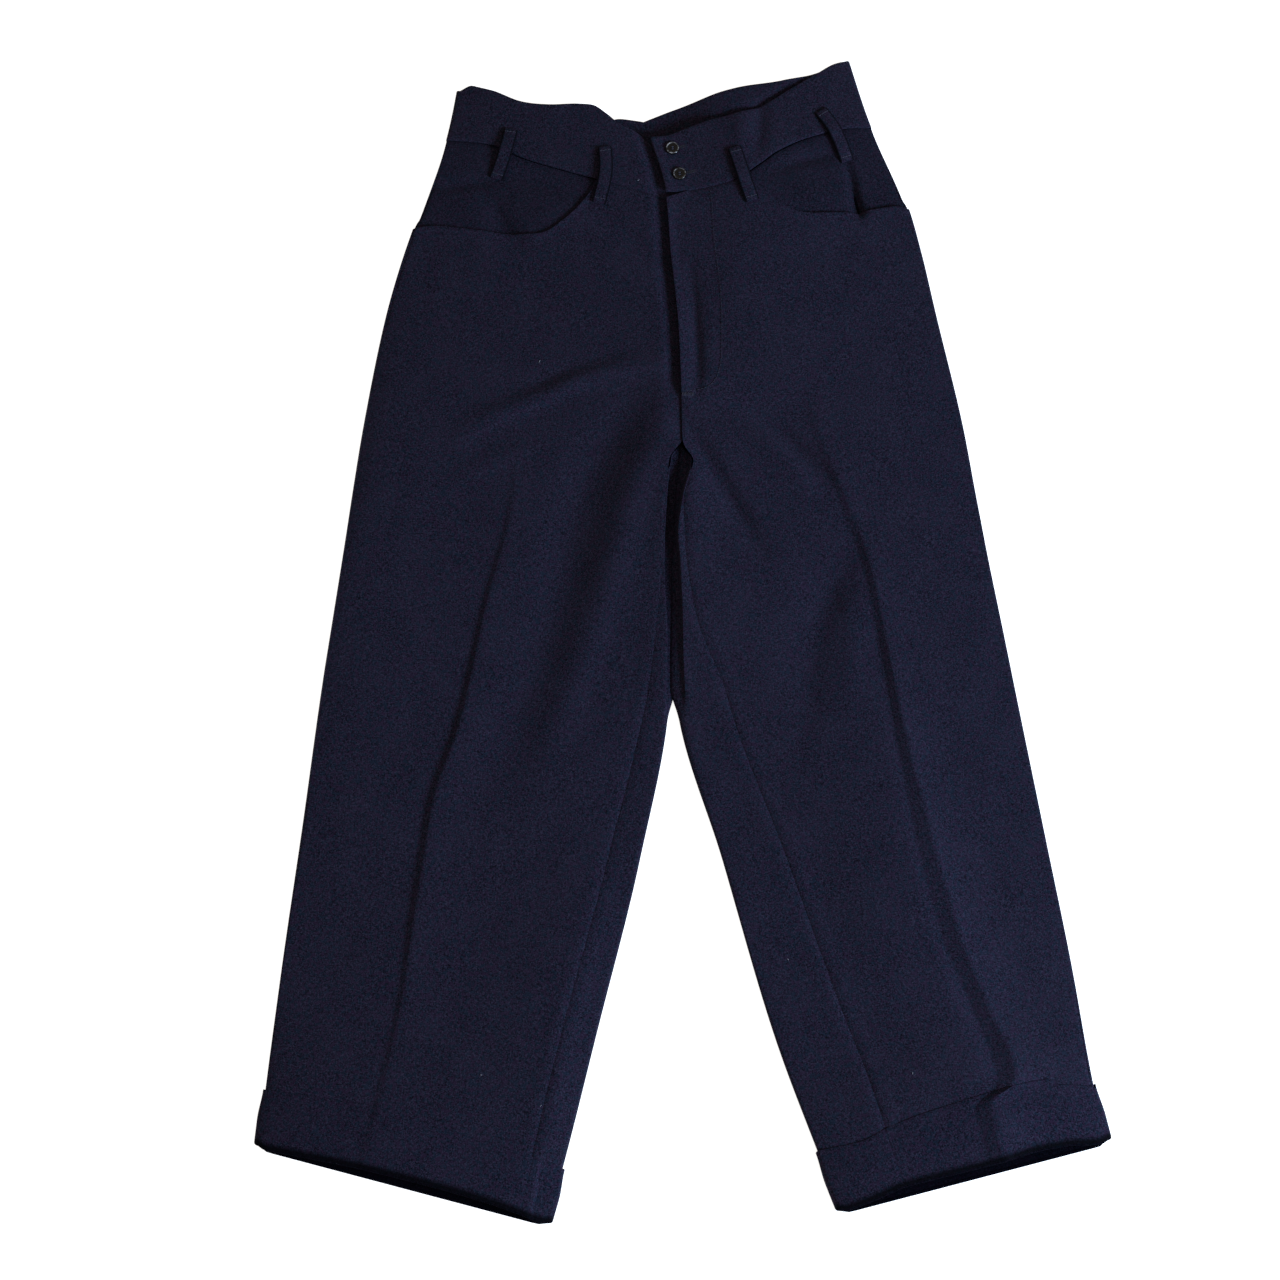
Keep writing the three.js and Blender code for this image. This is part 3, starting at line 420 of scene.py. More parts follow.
def above_wall(half, up, share, lift):
    """Points lying over the upper wall's middle, at shares of its width."""
    turn, past = turn_at(half, up, share * station(half, up).width)
    return spot(half, up, turn, slide=past, drop=-lift)


def seam_turn(half, up):
    return np.arcsin(GAP / station(half, up).fold_out) / (math.pi / 2)


def inseam_share(half, up):
    row = station(half, up)
    return np.minimum(half.inseam.read(up), (row.wall_to - 1) / row.width)


def share_of_turn(half, up, turn):
    row = station(half, up)
    share = wall_middle(half, row, up, turn, 0)[0] / row.width
    return np.where((turn <= 1) | (turn >= 5), 0, share)


def back_start(half, up):
    """Turn at which the back begins, beside the inseam."""
    return turn_at(half, up, inseam_share(half, up) * station(half, up).width + SEAM / 2)[0]


def side_turns(half, up):
    """Turns from the outseam over the outer fold to the upper wall."""
    return [seam_turn(half, up), *[k / FOLD_STEPS for k in range(1, FOLD_STEPS + 1)]]


# ---- laying cloth ----
def put_in_scene(name, data):
    thing = bpy.data.objects.new(name, data)
    bpy.context.scene.collection.objects.link(thing)
    return thing


def choose_none():
    bpy.ops.object.select_all(action="DESELECT")


def choose_only(piece):
    choose_none()
    piece.select_set(True)
    bpy.context.view_layer.objects.active = piece


def modify(piece, kind, **settings):
    """Adds one modifier and applies it."""
    choose_only(piece)
    modifier = piece.modifiers.new(kind.lower(), kind)
    for key, value in settings.items():
        setattr(modifier, key, value)
    bpy.ops.object.modifier_apply(modifier=modifier.name)


def smooth(piece, degrees=38):
    choose_only(piece)
    bpy.ops.object.shade_smooth_by_angle(angle=math.radians(degrees))


def lengths(points, axis):
    return np.linalg.norm(np.diff(points, axis=axis), axis=-1)


def lay(name, points, thick, finish, rim=0.35, flip=False, across_grain=False, inside=None, fullness=None):
    """A sheet of cloth: a grid moved onto the points, rows by columns in millimetres, then thickened
    about its middle, with its cut edges rounded. Its UV map holds the cloth's own metres. The side that
    faces into the leg and the cut edges may take a darker material of their own that paints the shade
    there, and fullness thins its rows."""
    if flip:
        points = points[:, ::-1]
    rows, columns = points.shape[:2]
    choose_none()
    bpy.ops.mesh.primitive_grid_add(x_subdivisions=columns - 1, y_subdivisions=rows - 1, size=1)
    piece = bpy.context.object
    piece.name = piece.data.name = name
    mesh = piece.data
    mesh.vertices.foreach_set("co", (points * MM).ravel())
    along = np.cumsum(np.pad(lengths(points, 1), ((0, 0), (1, 0))), axis=1)
    climb = np.cumsum(np.pad(lengths(points, 0), ((1, 0), (0, 0))), axis=0)
    grain = np.stack([climb, along] if across_grain else [along, climb], axis=-1) * MM
    corner = np.zeros(len(mesh.loops), int)
    mesh.loops.foreach_get("vertex_index", corner)
    mesh.uv_layers[0].name = "cloth"
    mesh.uv_layers[0].data.foreach_set("uv", grain.reshape(-1, 2)[corner].ravel())
    mesh.materials.append(finish)
    mesh.materials.append(inside or finish)
    group = piece.vertex_groups.new(name="fullness")
    for row in range(rows):
        members = list(range(row * columns, (row + 1) * columns))
        group.add(members, 1.0 if fullness is None else fullness[row], "REPLACE")
    modify(piece, "SOLIDIFY", thickness=thick * MM, offset=0, use_quality_normals=True, material_offset=1,
           material_offset_rim=1, vertex_group="fullness")
    piece.vertex_groups.clear()
    modify(piece, "BEVEL", width=rim * MM, segments=2, limit_method="ANGLE", angle_limit=math.radians(60))
    smooth(piece)
    cut = SimpleNamespace(piece=piece)
    cut.flat = (along[:, -1].max() * MM, climb[-1].max() * MM)
    cross = np.cross(points[:-1, 1:] - points[:-1, :-1], points[1:, :-1] - points[:-1, :-1])
    cut.area = float(np.linalg.norm(cross, axis=-1).sum()) * MM * MM
    return cut


def lay_half(half, part, points, thick, finish, **more):
    """One half's sheet of a part. The left half's columns are turned round, so that both face outwards."""
    return lay(f"cloth_{part}_{half.name}", points, thick, finish, flip=half.sign < 0, **more)


def lay_band(half, part, points, finish):
    return lay_half(half, part, points, BAND, finish, rim=0.8, across_grain=True)


def declare(cut, node):
    """Attaches the sheet to the root and hides the imported part it replaces."""
    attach(cut.piece, "root")
    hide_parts(node)


def segments(knots, counts):
    """Values running through the knots, with so many steps between each two. Knots may be arrays."""
    values = [knots[0]]
    for a, b, count in zip(knots, knots[1:], counts):
        values += [mix(a, b, k / count) for k in range(1, count + 1)]
    return values


# ---- panels ----
LEG_COUNTS = {"right": [27, 5, 14, 34], "left": [14, 16, 6, 44]}
TORSO_KNOTS = {"right": [0, 0.27, 0.47, 0.7, 1], "left": [0, 0.24, 0.43, 0.63, 1]}
FOLD_STEPS = 5


def leg_shares(half, up):
    """Shares of the width across a leg's front: to the crease, over it, and on to the inseam."""
    width = station(half, up).width
    crease = half.crease.read(up)
    steep = half.crease.read(up, 2) / width
    gentle = CREASE_BACK / width
    end = inseam_share(half, up) - SEAM / 2 / width
    zero = 0 * crease
    if half.sign > 0:
        knots = [zero, crease - steep, crease, crease + gentle, end]
    else:
        knots = [zero, crease - gentle, crease, crease + steep, end]
    return segments(knots, LEG_COUNTS[half.name])


def front_shares(half, up):
    width = station(half, up).width
    under = 0
    if half.sign > 0:
        under = CROTCH_UNDERLAP * ease(up, FORK - 10, FORK)
        under = under + (FLY_UNDERLAP - CROTCH_UNDERLAP) * ease(up, FLY_END + 14, FLY_END + 28)
    end = 1 + (under - GAP / 2) / width
    knots = [k + 0 * end for k in TORSO_KNOTS[half.name][:-1]] + [end]
    torso = segments(knots, LEG_COUNTS[half.name])
    legs = leg_shares(half, np.minimum(up, FORK))
    f = ease(up, FORK - 20, TORSO_TO)
    shares = [mix(a, b, f) for a, b in zip(legs, torso)]
    short = (end - shares[-1]) * np.clip((up - FORK + 20) / 20, 0, 1)
    last = len(shares) - 1
    return [share + short * np.clip(1 - (last - k) / 8, 0, 1) ** 1.5 for k, share in enumerate(shares)]


def panel_rows(top):
    """Heights of a panel's rows before they follow its cut end and top edge."""
    return np.concatenate([np.arange(0, TORSO_TO, STEP), np.linspace(TORSO_TO, top, 50)])


def panel_up(nominal, foot, top, nominal_top):
    """A row's height: it eases off the cut end and stretches to the top edge."""
    lower = mix(foot, FOOT_ROW, nominal / FOOT_ROW)
    upper = mix(TORSO_TO, top, (nominal - TORSO_TO) / (nominal_top - TORSO_TO))
    return np.where(nominal < FOOT_ROW, lower, np.where(nominal > TORSO_TO, upper, nominal))


def seam_dip(distance, depth=0.55, reach=2.2):
    """A sewn edge rolls down into its seam."""
    return depth * np.exp(-((distance / reach) ** 2))


def inseam_dip(half, up, distance):
    """The inseam's line, with the fold of its allowance under the front. On the right it fades toward the
    fork, where the leg rolls over it."""
    shown = 1 - 0.8 * ease(up, 430, 500) if half.sign > 0 else 1.2
    allowance = 0.35 * np.exp(-(((distance - 7) / 5) ** 2))
    return shown * (seam_dip(distance, 0.35) - allowance)


def front_panel(half, finish, inside):
    nominal_top = 930
    nominal = panel_rows(nominal_top)[:, None]
    side_up = panel_up(nominal, LEG_FOOT, half.pocket.read(0) - GAP / 2, nominal_top)
    side = spot(half, side_up, np.array(side_turns(half, 400))[None, :])
    shares = np.concatenate(front_shares(half, nominal), axis=1)
    for _ in range(2):
        top = np.minimum(half.pocket.read(shares), half.waist.read(shares)) - GAP / 2
        up = panel_up(nominal, LEG_FOOT + half.hem.read(shares), top, nominal_top)
        level = np.where(nominal < TORSO_TO, up, nominal)
        shares = np.stack([front_shares(half, level[:, k])[k] for k in range(shares.shape[1])], axis=1)
    row = station(half, up)
    across = shares * row.width
    turn, past = turn_at(half, up, across)
    drop = front_drop(half, up, across, shares, top, row.width)
    cloth = spot(half, up, turn, slide=past, drop=drop)
    points = np.concatenate([side, cloth[:, 1:]], axis=1)
    return lay_half(half, "front", points, CLOTH, finish, inside=inside)


def front_drop(half, up, across, shares, top, width):
    """How far the front lies below the plain form: at its seams, its fly and its pocket mouth."""
    on_leg = 1 - ease(up, FORK - 10, FORK + 10)
    to_inseam = (inseam_share(half, up) - shares) * width
    to_centre = width - across
    drop = on_leg * inseam_dip(half, up, to_inseam)
    mouth = half.pocket.read(shares) < half.waist.read(shares)
    to_top = top - up
    drop = drop + np.where(mouth, -1.1 * np.exp(-((to_top / 6) ** 2)), seam_dip(to_top))
    if half.sign > 0:
        sunk = ease(up, FLY_END, FLY_END + 14)
        drop = drop + (LAP + 3) * sunk * ease(-to_centre, -18, -3)
        drop = drop + (LAP + 0.8) * (1 - sunk) * ease(up, FORK - 14, FORK - 2) * ease(-to_centre, -20, -1)
    else:
        fly = ease(up, FLY_END - 6, FLY_END + 10)
        lifted = fly * (1 - ease(to_centre, 30, 37)) * (1 - 0.7 * ease(up - top, -16, -2))
        drop = drop - lifted * (0.3 + 1.9 * np.exp(-((to_centre / 5) ** 2)))
        drop = drop + (1 - fly) * (1 - on_leg) * seam_dip(to_centre, 0.6, 3)
    return drop


BACK_COUNTS = [10, 12, 44, 6]
SEAT_FROM = (624, 636)  # heights over which the back's edge leaves the inseam for the seat seam
SEAT_SPREAD = (686, 740)  # and over which the columns beside it spread across the lower wall
SEAT_SEWN = (684, 692)  # and over which it reaches the middle, where the two halves are sewn together


def back_turns(half, up):
    """Turns across the back: from the inseam round the inner fold, under the leg and up the outer fold."""
    start = back_start(half, up)
    seat = SEAT_START_CURVE.read(up)
    on_seat = ease(up, *SEAT_FROM)
    begin = mix(start, seat, on_seat)
    lower = mix(4.02, 4.42, ease(up, *SEAT_SPREAD))
    middle = mix(2, mix(seat, lower, 10 / 22), on_seat)
    under = mix(4, lower, on_seat)
    last = 6 - seam_turn(half, up)
    return segments([begin, middle, under, 5 + 0 * up, last], BACK_COUNTS)


def back_panel(half, finish, inside):
    nominal_top = 940
    nominal = panel_rows(nominal_top)[:, None]
    turns = np.concatenate(back_turns(half, nominal), axis=1)
    share = share_of_turn(half, nominal, turns)
    top = BACK_WAIST_CURVE.read(share) - GAP / 2
    rise = np.where(turns < 3, half.hem.read(share), 0)
    up = panel_up(nominal, LEG_FOOT + rise, top, nominal_top)
    level = np.where(nominal < TORSO_TO, up, nominal)
    turns = np.stack([back_turns(half, level[:, k])[k] for k in range(turns.shape[1])], axis=1)
    row = station(half, up)
    slide = np.zeros(turns.shape)
    slide[:, 0] = (ease(nominal, *SEAT_SEWN) * (row.width - SEAM / 2 - row.wall_to))[:, 0]
    to_inseam = (share_of_turn(half, up, turns) - inseam_share(half, up)) * row.width
    on_top = (turns < 2.2) & (up < FORK)
    drop = np.where(on_top, inseam_dip(half, up, to_inseam), 0)
    points = spot(half, up, turns, slide=slide, drop=drop, inset=SIDE_STEP_CURVE.read(up))
    return lay_half(half, "back", points, CLOTH, finish, inside=inside)


def facing_inset(up):
    """How far the facing's edge is moved in from the outer fold: one layer less than the back's."""
    return np.maximum(SIDE_STEP_CURVE.read(up) - LAP, np.where(up < 866, 0.2, -9))


def pocket_facing(half, finish):
    """The cloth seen through the pocket mouth, on its own level below the front."""
    end = 0.78 if half.sign > 0 else 0.7
    shares = np.linspace(0, end, 70)[None, :]
    steps = np.linspace(0, 1, 34)[:, None]
    up = mix(FACING_FOOT, half.waist.read(shares) - GAP, steps)
    row = station(half, up)
    inset = facing_inset(up) * (1 - shares)
    start = row.wall_from + inset
    turn = np.maximum(1, 1 + (shares * row.width - start) / (row.wall_to - start))
    drop = seam_dip(half.waist.read(shares) - GAP - up)
    cloth = spot(half, up, turn, out=-LAP, inset=inset, drop=drop)
    side_up = mix(FACING_FOOT, half.waist.read(0) - GAP, steps)
    turns = np.array([seam_turn(half, 900) * 2.4, 0.35, 0.6, 0.8])[None, :]
    side = spot(half, side_up, turns, out=-LAP, inset=facing_inset(side_up))
    points = np.concatenate([side, cloth], axis=1)
    return lay_half(half, "pocket_facing", points, CLOTH, finish)


# ---- waistband ----
BAND_MIDDLE = 960  # height of the waistband's middle


def front_band(half, finish):
    sunk = BAND + GAP + 1.9
    reach = BAND_UNDERLAP if half.sign > 0 else -GAP / 2
    shares = np.linspace(0, 1 + reach / station(half, BAND_MIDDLE).width, 84)[None, :]
    steps = np.linspace(0, 1, 20)[:, None]
    flat = np.minimum(shares, 1)
    up = mix(half.waist.read(flat) + GAP / 2, half.band_top.read(flat), steps)
    row = station(half, up)
    across = mix(row.wall_from, row.width + reach, (shares - shares[0, 0]) / shares[0, -1])
    turn, past = turn_at(half, up, across)
    drop = seam_dip(up - half.waist.read(flat), 0.4)
    if half.sign > 0:
        drop = drop + sunk * ease(across - row.width, -20, -3)
    else:
        drop = drop - 2.6 * np.exp(-(((row.width - across) / 9) ** 2))
    side_up = mix(half.waist.read(0) + GAP / 2, half.band_top.read(0), steps)
    turns = np.array([seam_turn(half, BAND_MIDDLE), 0.3, 0.55, 0.8])[None, :]
    side = spot(half, side_up, turns)
    points = np.concatenate([side, spot(half, up, turn, slide=past, drop=drop)], axis=1)
    return lay_band(half, "waistband_front", points, finish)


BAND_CURL = 5.2  # the back band's top curls up where it passes the front band's


def back_band(half, finish):
    steps = np.linspace(0, 1, 16)[:, None]
    side = [5.2, 5.4, 5.6, 5.8, 6 - seam_turn(half, BAND_MIDDLE)]
    turns = np.concatenate([np.linspace(4, 5, 66), side])[None, :]
    share = np.where(turns < 5, 5 - turns, 0)
    up = mix(BACK_WAIST_CURVE.read(share) + GAP / 2, half.back_band_top.read(share), steps)
    row = station(half, up)
    slide = np.zeros(up.shape)
    slide[:, 0] = (row.width - SEAM / 2 - row.wall_to)[:, 0]
    front_top = half.band_top.read(share)
    past = up - front_top
    lift = BAND_CURL * (ease(past, -16, 1) + 0.7 * ease(past, 0, 7))
    lift = lift * (turns < 5) * (1 - ease(share, 0.6, 0.85))
    points = spot(half, up, turns, slide=slide, drop=-lift)
    return lay_band(half, "waistband_back", points, finish)


# ---- cuffs: turned up outside the leg, rolled under its cut end ----
CUFF_MIDDLE = CLOTH / 2 + GAP + CUFF / 2
CUFF_EDGE = 0.13  # how much of its thickness a cuff keeps at its pressed upper edge
UNDER_FOLD = -0.4  # faces that point further toward the feet than this are under the lower fold and take the inside's painted shade
CUFF_CORNER = 3.0  # the lower edge rises so far into the leg's two side folds
CUFF_ROW = 20.0  # height at which a cuff's columns are set out
CUFF_ROWS = 12
ROLL = [(0.6, 1.25), (1.1, 1.25), (1.55, 1.4), (1.9, 1.8), (CUFF_MIDDLE, 2.5)]  # off the wall, above the hem


def cuff(half, part, turns, finish, inside):
    """turns(up) gives the turns along a row."""
    foot_turns = turns(CUFF_ROW)
    share = share_of_turn(half, CUFF_ROW, foot_turns)
    front_top = half.cuff_top.read(np.where(foot_turns < 2, share, 1))
    top = mix(front_top, BACK_CUFF_TOP_CURVE.read(share), ease(foot_turns, 2, 4))
    hem = np.where(foot_turns < 3, half.hem.read(share), 0)
    hem = hem + CUFF_CORNER * (np.exp(-((share / 0.02) ** 2)) + np.exp(-(((1 - share) / 0.02) ** 2)))
    steps = range(1, CUFF_ROWS + 1)
    fullness = [1.0] * len(ROLL) + [float(mix(1, CUFF_EDGE, ease(k, 5, CUFF_ROWS))) for k in steps]
    outs = [out for out, _ in ROLL] + [CLOTH / 2 + GAP + CUFF * full / 2 for full in fullness[len(ROLL):]]
    rise = [hem + height for _, height in ROLL]
    rise += [mix(hem + ROLL[-1][1], top, k / CUFF_ROWS) for k in steps]
    rows = []
    for out, up in zip(outs, rise):
        at = np.array([turns(float(u))[k] for k, u in enumerate(up)])
        rows.append(spot(half, up, at, out=out, spread=CUFF_SPREAD))
    cut = lay_half(half, part, np.array(rows), CUFF, finish, rim=0.15, across_grain=True, inside=inside,
                   fullness=fullness)
    # the underside of the lower fold takes the inside's painted shade
    for face in cut.piece.data.polygons:
        if face.normal.y < UNDER_FOLD:
            face.material_index = 1
    return cut


def front_cuff(half, finish, inside):
    def turns(up):
        shares = np.array(leg_shares(half, up))
        turn = turn_at(half, up, shares * station(half, up).width)[0]
        return np.concatenate([side_turns(half, up), turn[1:]])
    return cuff(half, "cuff_front", turns, finish, inside)


def back_cuff(half, finish, inside):
    def turns(up):
        knots = [back_start(half, up), 2, 4, 5, 6 - seam_turn(half, up)]
        return np.array(segments(knots, [12, 10, 44, 6]))
    return cuff(half, "cuff_back", turns, finish, inside)


# ---- belt loops ----
def strip(name, middle, width, thick, finish):
    """A folded strip along its middle points, with its sides a little lower than its crown."""
    along = np.gradient(middle, axis=0)
    along[:, 2] = 0
    along /= np.linalg.norm(along, axis=1)[:, None]
    across = np.stack([along[:, 1], -along[:, 0], 0 * along[:, 0]], axis=-1)
    sides = np.linspace(-1, 1, 9)
    points = middle[:, None, :] + across[:, None, :] * (sides * (width - thick) / 2)[None, :, None]
    points[:, :, 2] -= 0.35 * np.abs(sides) ** 3
    return lay(name, points, thick, finish, rim=0.55)


def loop_tacks(name, middle, finish):
    """A bar of stitches across a loop near each of its ends."""
    starts, ends = [], []
    for at, beyond in [(2, 1), (-3, -2)]:
        along = middle[beyond] - middle[at]
        across = np.array([along[1], -along[0], 0]) / np.hypot(along[0], along[1])
        centre = middle[at] + np.array([0, 0, LOOP.thick / 2])
        for k in range(-3, 4):
            starts.append(centre + across * (1.5 * k - 0.6) + along * 0.15 * (k % 2))
            ends.append(centre + across * (1.5 * k + 0.6) + along * 0.15 * ((k + 1) % 2))
    return thread_row(name, starts, ends, 0.3, finish)


def front_loop(name, half, top_share, top_up, foot_share, foot_up, bow, finish):
    seam = half.waist.read(foot_share)
    on_facing = foot_up > half.pocket.read(foot_share)
    cloth = CLOTH / 2 - (LAP if on_facing else 0)
    f = np.linspace(0, 1, 27)
    up = mix(foot_up, top_up, f)
    share = mix(foot_share, top_share, f)
    rest = LOOP.thick / 2 + GAP + mix(cloth, BAND / 2, ease(up, seam - 9, seam - 1))
    arch = LOOP.arch * np.sin(math.pi * f) ** 0.8
    turn, _ = turn_at(half, up, share * station(half, up).width + bow * np.sin(math.pi * f))
    middle = spot(half, up, turn, drop=-(rest + arch))
    return strip(name, middle, LOOP.width, LOOP.thick, finish), middle


def back_loop(name, half, share, finish):
    up = float(mix(BACK_WAIST_CURVE.read(share), half.back_band_top.read(share), 0.3))
    middle = spot(half, up, 5.0 - share)
    above = spot(half, up + 40, 5.0 - share)
    along = above - middle
    along[2] = 0
    along /= np.linalg.norm(along)
    middle[2] = BACK_LOOP.thick / 2
    line = middle + along * np.linspace(-0.5, 0.5, 27)[:, None] * BACK_LOOP.long
    return strip(name, line, BACK_LOOP.width, BACK_LOOP.thick, finish)


# ---- threads ----
def thread_row(name, starts, ends, radius, finish, slot="wool"):
    """Short stitches from each start to its end, as one piece."""
    choose_none()
    bpy.ops.mesh.primitive_uv_sphere_add(segments=8, ring_count=6, radius=1)
    pattern = bpy.context.object
    ball = np.array([v.co for v in pattern.data.vertices])
    faces = [tuple(f.vertices) for f in pattern.data.polygons]
    bpy.data.objects.remove(pattern)
    points, polygons = [], []
    for start, end in zip(starts, ends):
        turn = Vector(end - start).to_track_quat("X", "Z").to_matrix()
        size = np.array([np.linalg.norm(end - start) / 2 + radius * 0.6, radius, radius])
        first = len(points)
        points += list((ball * size) @ np.array(turn).T + (start + end) / 2)
        polygons += [tuple(first + i for i in face) for face in faces]
    mesh = bpy.data.meshes.new(name)
    mesh.from_pydata((np.array(points) * MM).tolist(), [], polygons)
    piece = put_in_scene(name, mesh)
    smooth(piece, 80)
    mesh.materials.append(finish)
    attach(piece, "root")
    return piece


def stitch_line(half, ups, shares, lift, length=2.6, gap=0.9):
    """Starts and ends of the stitches along a line on the upper wall."""
    fine = np.linspace(0, 1, 400)
    knots = np.linspace(0, 1, len(ups))
    up = Curve(np.stack([knots, ups], axis=1)).read(fine)
    share = Curve(np.stack([knots, shares], axis=1)).read(fine)
    line = above_wall(half, up, share, lift)
    run = np.concatenate([[0], np.cumsum(np.linalg.norm(np.diff(line, axis=0), axis=1))])
    begins = np.arange(0, run[-1] - length, length + gap)

    def at(distance):
        return np.stack([np.interp(distance, run, line[:, k]) for k in range(3)], axis=-1)
    return at(begins), at(begins + length)


def bar_tack():
    """Close stitches across the foot of the fly."""
    half = HALVES["left"]
    starts, ends = [], []
    for share in np.linspace(0.955, 0.995, 9):
        for up, line in [(693, starts), (697, ends)]:
            line.append(above_wall(half, up, share, CLOTH / 2 + 1.2))
    return starts, ends


# pale fibres caught on the cloth: x, y, length, direction in degrees
LINT = [(-130, 235, 3.2, 70), (-38, 420, 1.8, 20), (-171, -427, 1.6, 0), (-120, -453, 1.4, 50),
        (91, -327, 1.6, 110), (194, -426, 1.8, 100)]


def fibres(name, places, finish):
    """Short loose fibres, each laid on whatever cloth is uppermost there."""
    depsgraph = bpy.context.evaluated_depsgraph_get()
    starts, ends = [], []
    for x, y, length, direction in places:
        hit = bpy.context.scene.ray_cast(depsgraph, Vector((x, y, 100)) * MM, Vector((0, 0, -1)))
        top = np.array(hit[1]) / MM + np.array([0, 0, 0.3])
        a = math.radians(direction)
        reach = np.array([math.cos(a), math.sin(a), 0]) * length / 2
        starts.append(top - reach)
        ends.append(top + reach)
    return thread_row(name, starts, ends, 0.28, finish)


# ---- finishes ----
class Wire:
    """A node's output. Adding to it, taking from it or multiplying it adds the Math node that does so."""

    def __init__(self, finish, socket):
        self.finish = finish
        self.socket = socket

    def __add__(self, other):
        return self.finish.maths("ADD", self, other)

    def __sub__(self, other):
        return self.finish.maths("SUBTRACT", self, other)

    def __mul__(self, other):
        return self.finish.maths("MULTIPLY", self, other)


class Finish:
    """A material under construction."""

    def __init__(self, name):
        self.material = bpy.data.materials.new(name)
        self.material.use_nodes = True
        self.tree = self.material.node_tree
        self.shader = self.tree.nodes["Principled BSDF"]

    def node(self, kind, settings, inputs, output=0):
        """Adds a node: its settings first, then the values or links of its sockets."""
        node = self.tree.nodes.new(kind)
        for key, value in settings.items():
            setattr(node, key, value)
        for key, value in inputs.items():
            self.put(node.inputs[key], value)
        return Wire(self, node.outputs[output])

    def put(self, socket, value):
        if isinstance(value, Wire):
            self.tree.links.new(value.socket, socket)
        else:
            socket.default_value = value

    def maths(self, operation, *values):
        return self.node("ShaderNodeMath", {"operation": operation}, dict(enumerate(values)))

    def shade(self, **inputs):
        for key, value in inputs.items():
            self.put(self.shader.inputs[key.replace("_", " ")], value)

    def noise(self, place, size, detail=2.0, roughness=0.6):
        """Noise with features of a given size, in millimetres."""
        settings = {"noise_dimensions": "3D"}
        inputs = {"Vector": place, "Scale": 1 / (size * MM), "Detail": detail, "Roughness": roughness}
        return self.node("ShaderNodeTexNoise", settings, inputs)

    def stretch(self, place, x, y):
        return self.node("ShaderNodeVectorMath", {"operation": "MULTIPLY"}, {0: place, 1: (x, y, 1.0)})

    def blend(self, factor, first, second):
        """A colour between two."""
        return self.node("ShaderNodeMix", {"data_type": "RGBA"}, {0: factor, 6: first, 7: second}, output=2)

    def spread(self, value, low, high, to_low=0.0, to_high=1.0):
        settings = {"interpolation_type": "SMOOTHSTEP"}
        return self.node("ShaderNodeMapRange", settings, {0: value, 1: low, 2: high, 3: to_low, 4: to_high})

    def bump(self, height, distance, strength):
        inputs = {"Height": height, "Distance": distance * MM, "Strength": strength}
        return self.node("ShaderNodeBump", {}, inputs)

    def place(self):
        """Where a point lies, in metres."""
        return self.node("ShaderNodeTexCoord", {}, {}, output="Object")


NAVY_DARK = (0.0015, 0.0013, 0.0030, 1)
NAVY = (0.0086, 0.0075, 0.0163, 1)
NAVY_PALE = (0.0255, 0.0226, 0.0425, 1)
INSIDE_PAINTED_SHADE = 0.16  # painted shade: the inside of the legs, the cut edges and the cuffs' lower folds are darkened to stand for the deep shade there
# painted shade: the pocket facing lies sunk below the front, and its cloth is darkened for that
FACING_PAINTED_SHADE = 0.8
LOOP_EDGE_PAINTED_SHADE = 0.12  # painted shade along a belt loop's edges, for the shadow beside the raised loop
HEM_EDGE_PAINTED_SHADE = 0.1  # painted shade along a cuff's folded lower edge, where it turns away from the light
PLUM = (0.0165, 0.0088, 0.0232, 1)
TEAL = (0.0053, 0.0120, 0.0232, 1)


